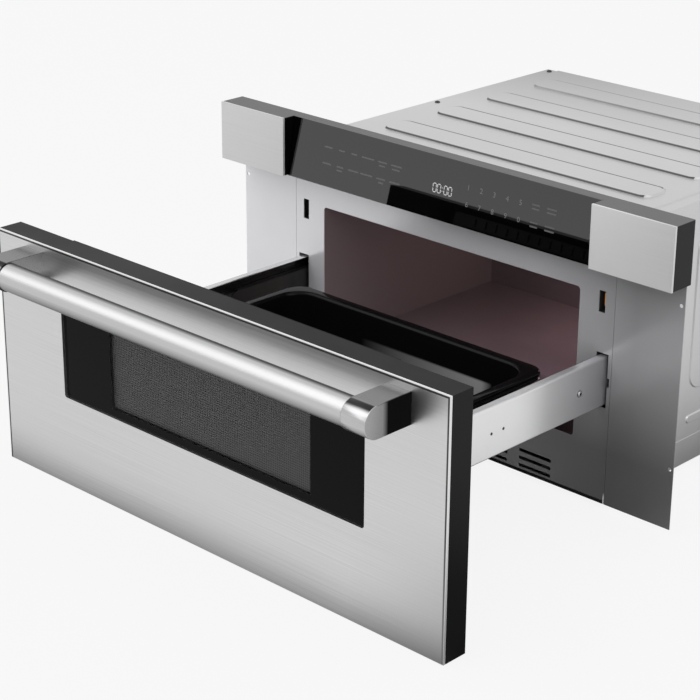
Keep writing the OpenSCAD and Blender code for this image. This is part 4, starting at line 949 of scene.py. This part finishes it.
# leaf of each switch lever, seen through its latch slot, in millimetres; the right one is copper
# coloured and the left one black, as painted shade in its slot
leaf = {
    "inner": 254.8,
    "outer": 258.2,
    "low": 75,
    "high": 92,
    "depth": 3.4,
    "thick": 0.5,
}


def makeLeaf(s, side):
    mesh = bmesh.new()
    ends = sorted((side * s["inner"], side * s["outer"]))
    strip(mesh, *ends, s["low"], s["high"], s["thick"])
    place = Matrix.Scale(mm, 4) @ Matrix.Translation((0, s["depth"], 0)) @ quarterTurn("X", 4)
    bmesh.ops.transform(mesh, matrix=place, verts=mesh.verts)
    word, finish = ("right", "springBronze") if side > 0 else ("left", "recess")
    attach(addPiece(word + "Leaf", mesh, finish), word + "_lever")


for side in (-1, 1):
    makeLeaf(leaf, side)
print("lever leaves made")
makeHandle(handle)
makeTub(tub)
makePanelPrint(panel)
makeRailHeads(heads)
makeCoverHeads(heads)

# floor, world and lamps. Seen in reflections on the part, the floor glows with a painted shadow
# close under the part and pale in front, to the right and to the left; each fade is an axis letter,
# the levels at its two ends and the places of these ends
studio = {
    "white": 0.945,
    "worldLight": 0.8,
    "floorHalf": 20,
    "floorGap": 0.001,
    "paper": (0.82, 0.82, 0.82, 1),
    "paperRough": 0.9,
    "floorShare": 0.93,
    "mirrored": (0.04, 0.93),
    "pale": ((("Y", 1, 0, -0.49, -0.39), ("X", 1, 0.55, 0.2, 0.5)),
             (("X", 0, 0.9, 0.3, 0.5), ("Y", 0, 1, -0.25, -0.05)),
             (("X", 1, 0, -0.6, -0.4),)),
    "lamps": {
        "keyLamp": {"place": (-1.8, -2.2, 2.8), "size": 3.6, "power": 48},
        "fillLamp": {"place": (2.6, -0.6, 1.8), "size": 2.0, "power": 14},
        "ovenLamp": {"place": (0.1, 0.33, 0.05), "aim": (-0.15, 0.1, -0.05), "size": 0.05,
                     "power": 0.14, "color": (1, 0.82, 0.76)},
    },
}


def floorPaper(s):
    mat, tree, surface = startMaterial("floorPaper")
    surface.inputs["Base Color"].default_value = s["paper"]
    surface.inputs["Roughness"].default_value = s["paperRough"]
    surface.inputs["Specular IOR Level"].default_value = 0
    path = put(tree, "ShaderNodeLightPath")
    camera = path.outputs["Is Camera Ray"]
    seen = calc(tree, "MAXIMUM", camera, path.outputs["Is Glossy Ray"])
    # the glow seen in reflections: pale areas, and a painted shadow close under the part elsewhere
    pale = 0
    for fades in s["pale"]:
        area = 1
        for letter, *span in fades:
            area = calc(tree, "MULTIPLY", area, ramp(tree, axisOf(tree, letter), *span))
        pale = calc(tree, "MAXIMUM", pale, area)
    mirrored = ramp(tree, pale, *s["mirrored"], 0, 1)
    direct = calc(tree, "MULTIPLY", camera, s["white"])
    other = calc(tree, "MULTIPLY", calc(tree, "SUBTRACT", 1, camera), mirrored)
    glow = put(tree, "ShaderNodeEmission")
    glow.inputs["Color"].default_value = (1, 1, 1, 1)
    tree.links.new(calc(tree, "ADD", direct, other), glow.inputs["Strength"])
    mixed = put(tree, "ShaderNodeMixShader")
    tree.links.new(calc(tree, "MULTIPLY", seen, s["floorShare"]), mixed.inputs[0])
    tree.links.new(surface.outputs[0], mixed.inputs[1])
    tree.links.new(glow.outputs[0], mixed.inputs[2])
    tree.links.new(mixed.outputs[0], tree.nodes["Material Output"].inputs["Surface"])
    return mat


def makeFloor(s):
    mesh = bmesh.new()
    bmesh.ops.create_grid(mesh, x_segments=1, y_segments=1, size=s["floorHalf"])
    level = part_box("door_skin")[0].z - s["floorGap"]
    bmesh.ops.translate(mesh, verts=mesh.verts, vec=(0, 0, level))
    data = bpy.data.meshes.new("floor")
    mesh.to_mesh(data)
    mesh.free()
    floor = bpy.data.objects.new("floor", data)
    bpy.context.scene.collection.objects.link(floor)
    data.materials.append(floorPaper(s))


def makeWorld(s):
    world = bpy.data.worlds.new("studio")
    bpy.context.scene.world = world
    world.use_nodes = True
    tree = world.node_tree
    back = tree.nodes["Background"]
    path = put(tree, "ShaderNodeLightPath")
    level = ramp(tree, path.outputs["Is Camera Ray"], s["worldLight"], s["white"], 0, 1)
    tree.links.new(level, back.inputs["Strength"])
    back.inputs["Color"].default_value = (1, 1, 1, 1)


def makeLamp(name, s):
    data = bpy.data.lights.new(name, "AREA")
    data.shape = "SQUARE"
    data.size = s["size"]
    data.energy = s["power"]
    data.color = s.get("color", (1, 1, 1))
    lamp = bpy.data.objects.new(name, data)
    lamp.location = s["place"]
    aim = Vector(s.get("aim", (0, 0, 0))) - Vector(s["place"])
    lamp.rotation_euler = aim.to_track_quat("-Z", "Y").to_euler()
    bpy.context.scene.collection.objects.link(lamp)


makeFloor(studio)
makeWorld(studio)
for name, lamp in studio["lamps"].items():
    makeLamp(name, lamp)
print("studio ready")
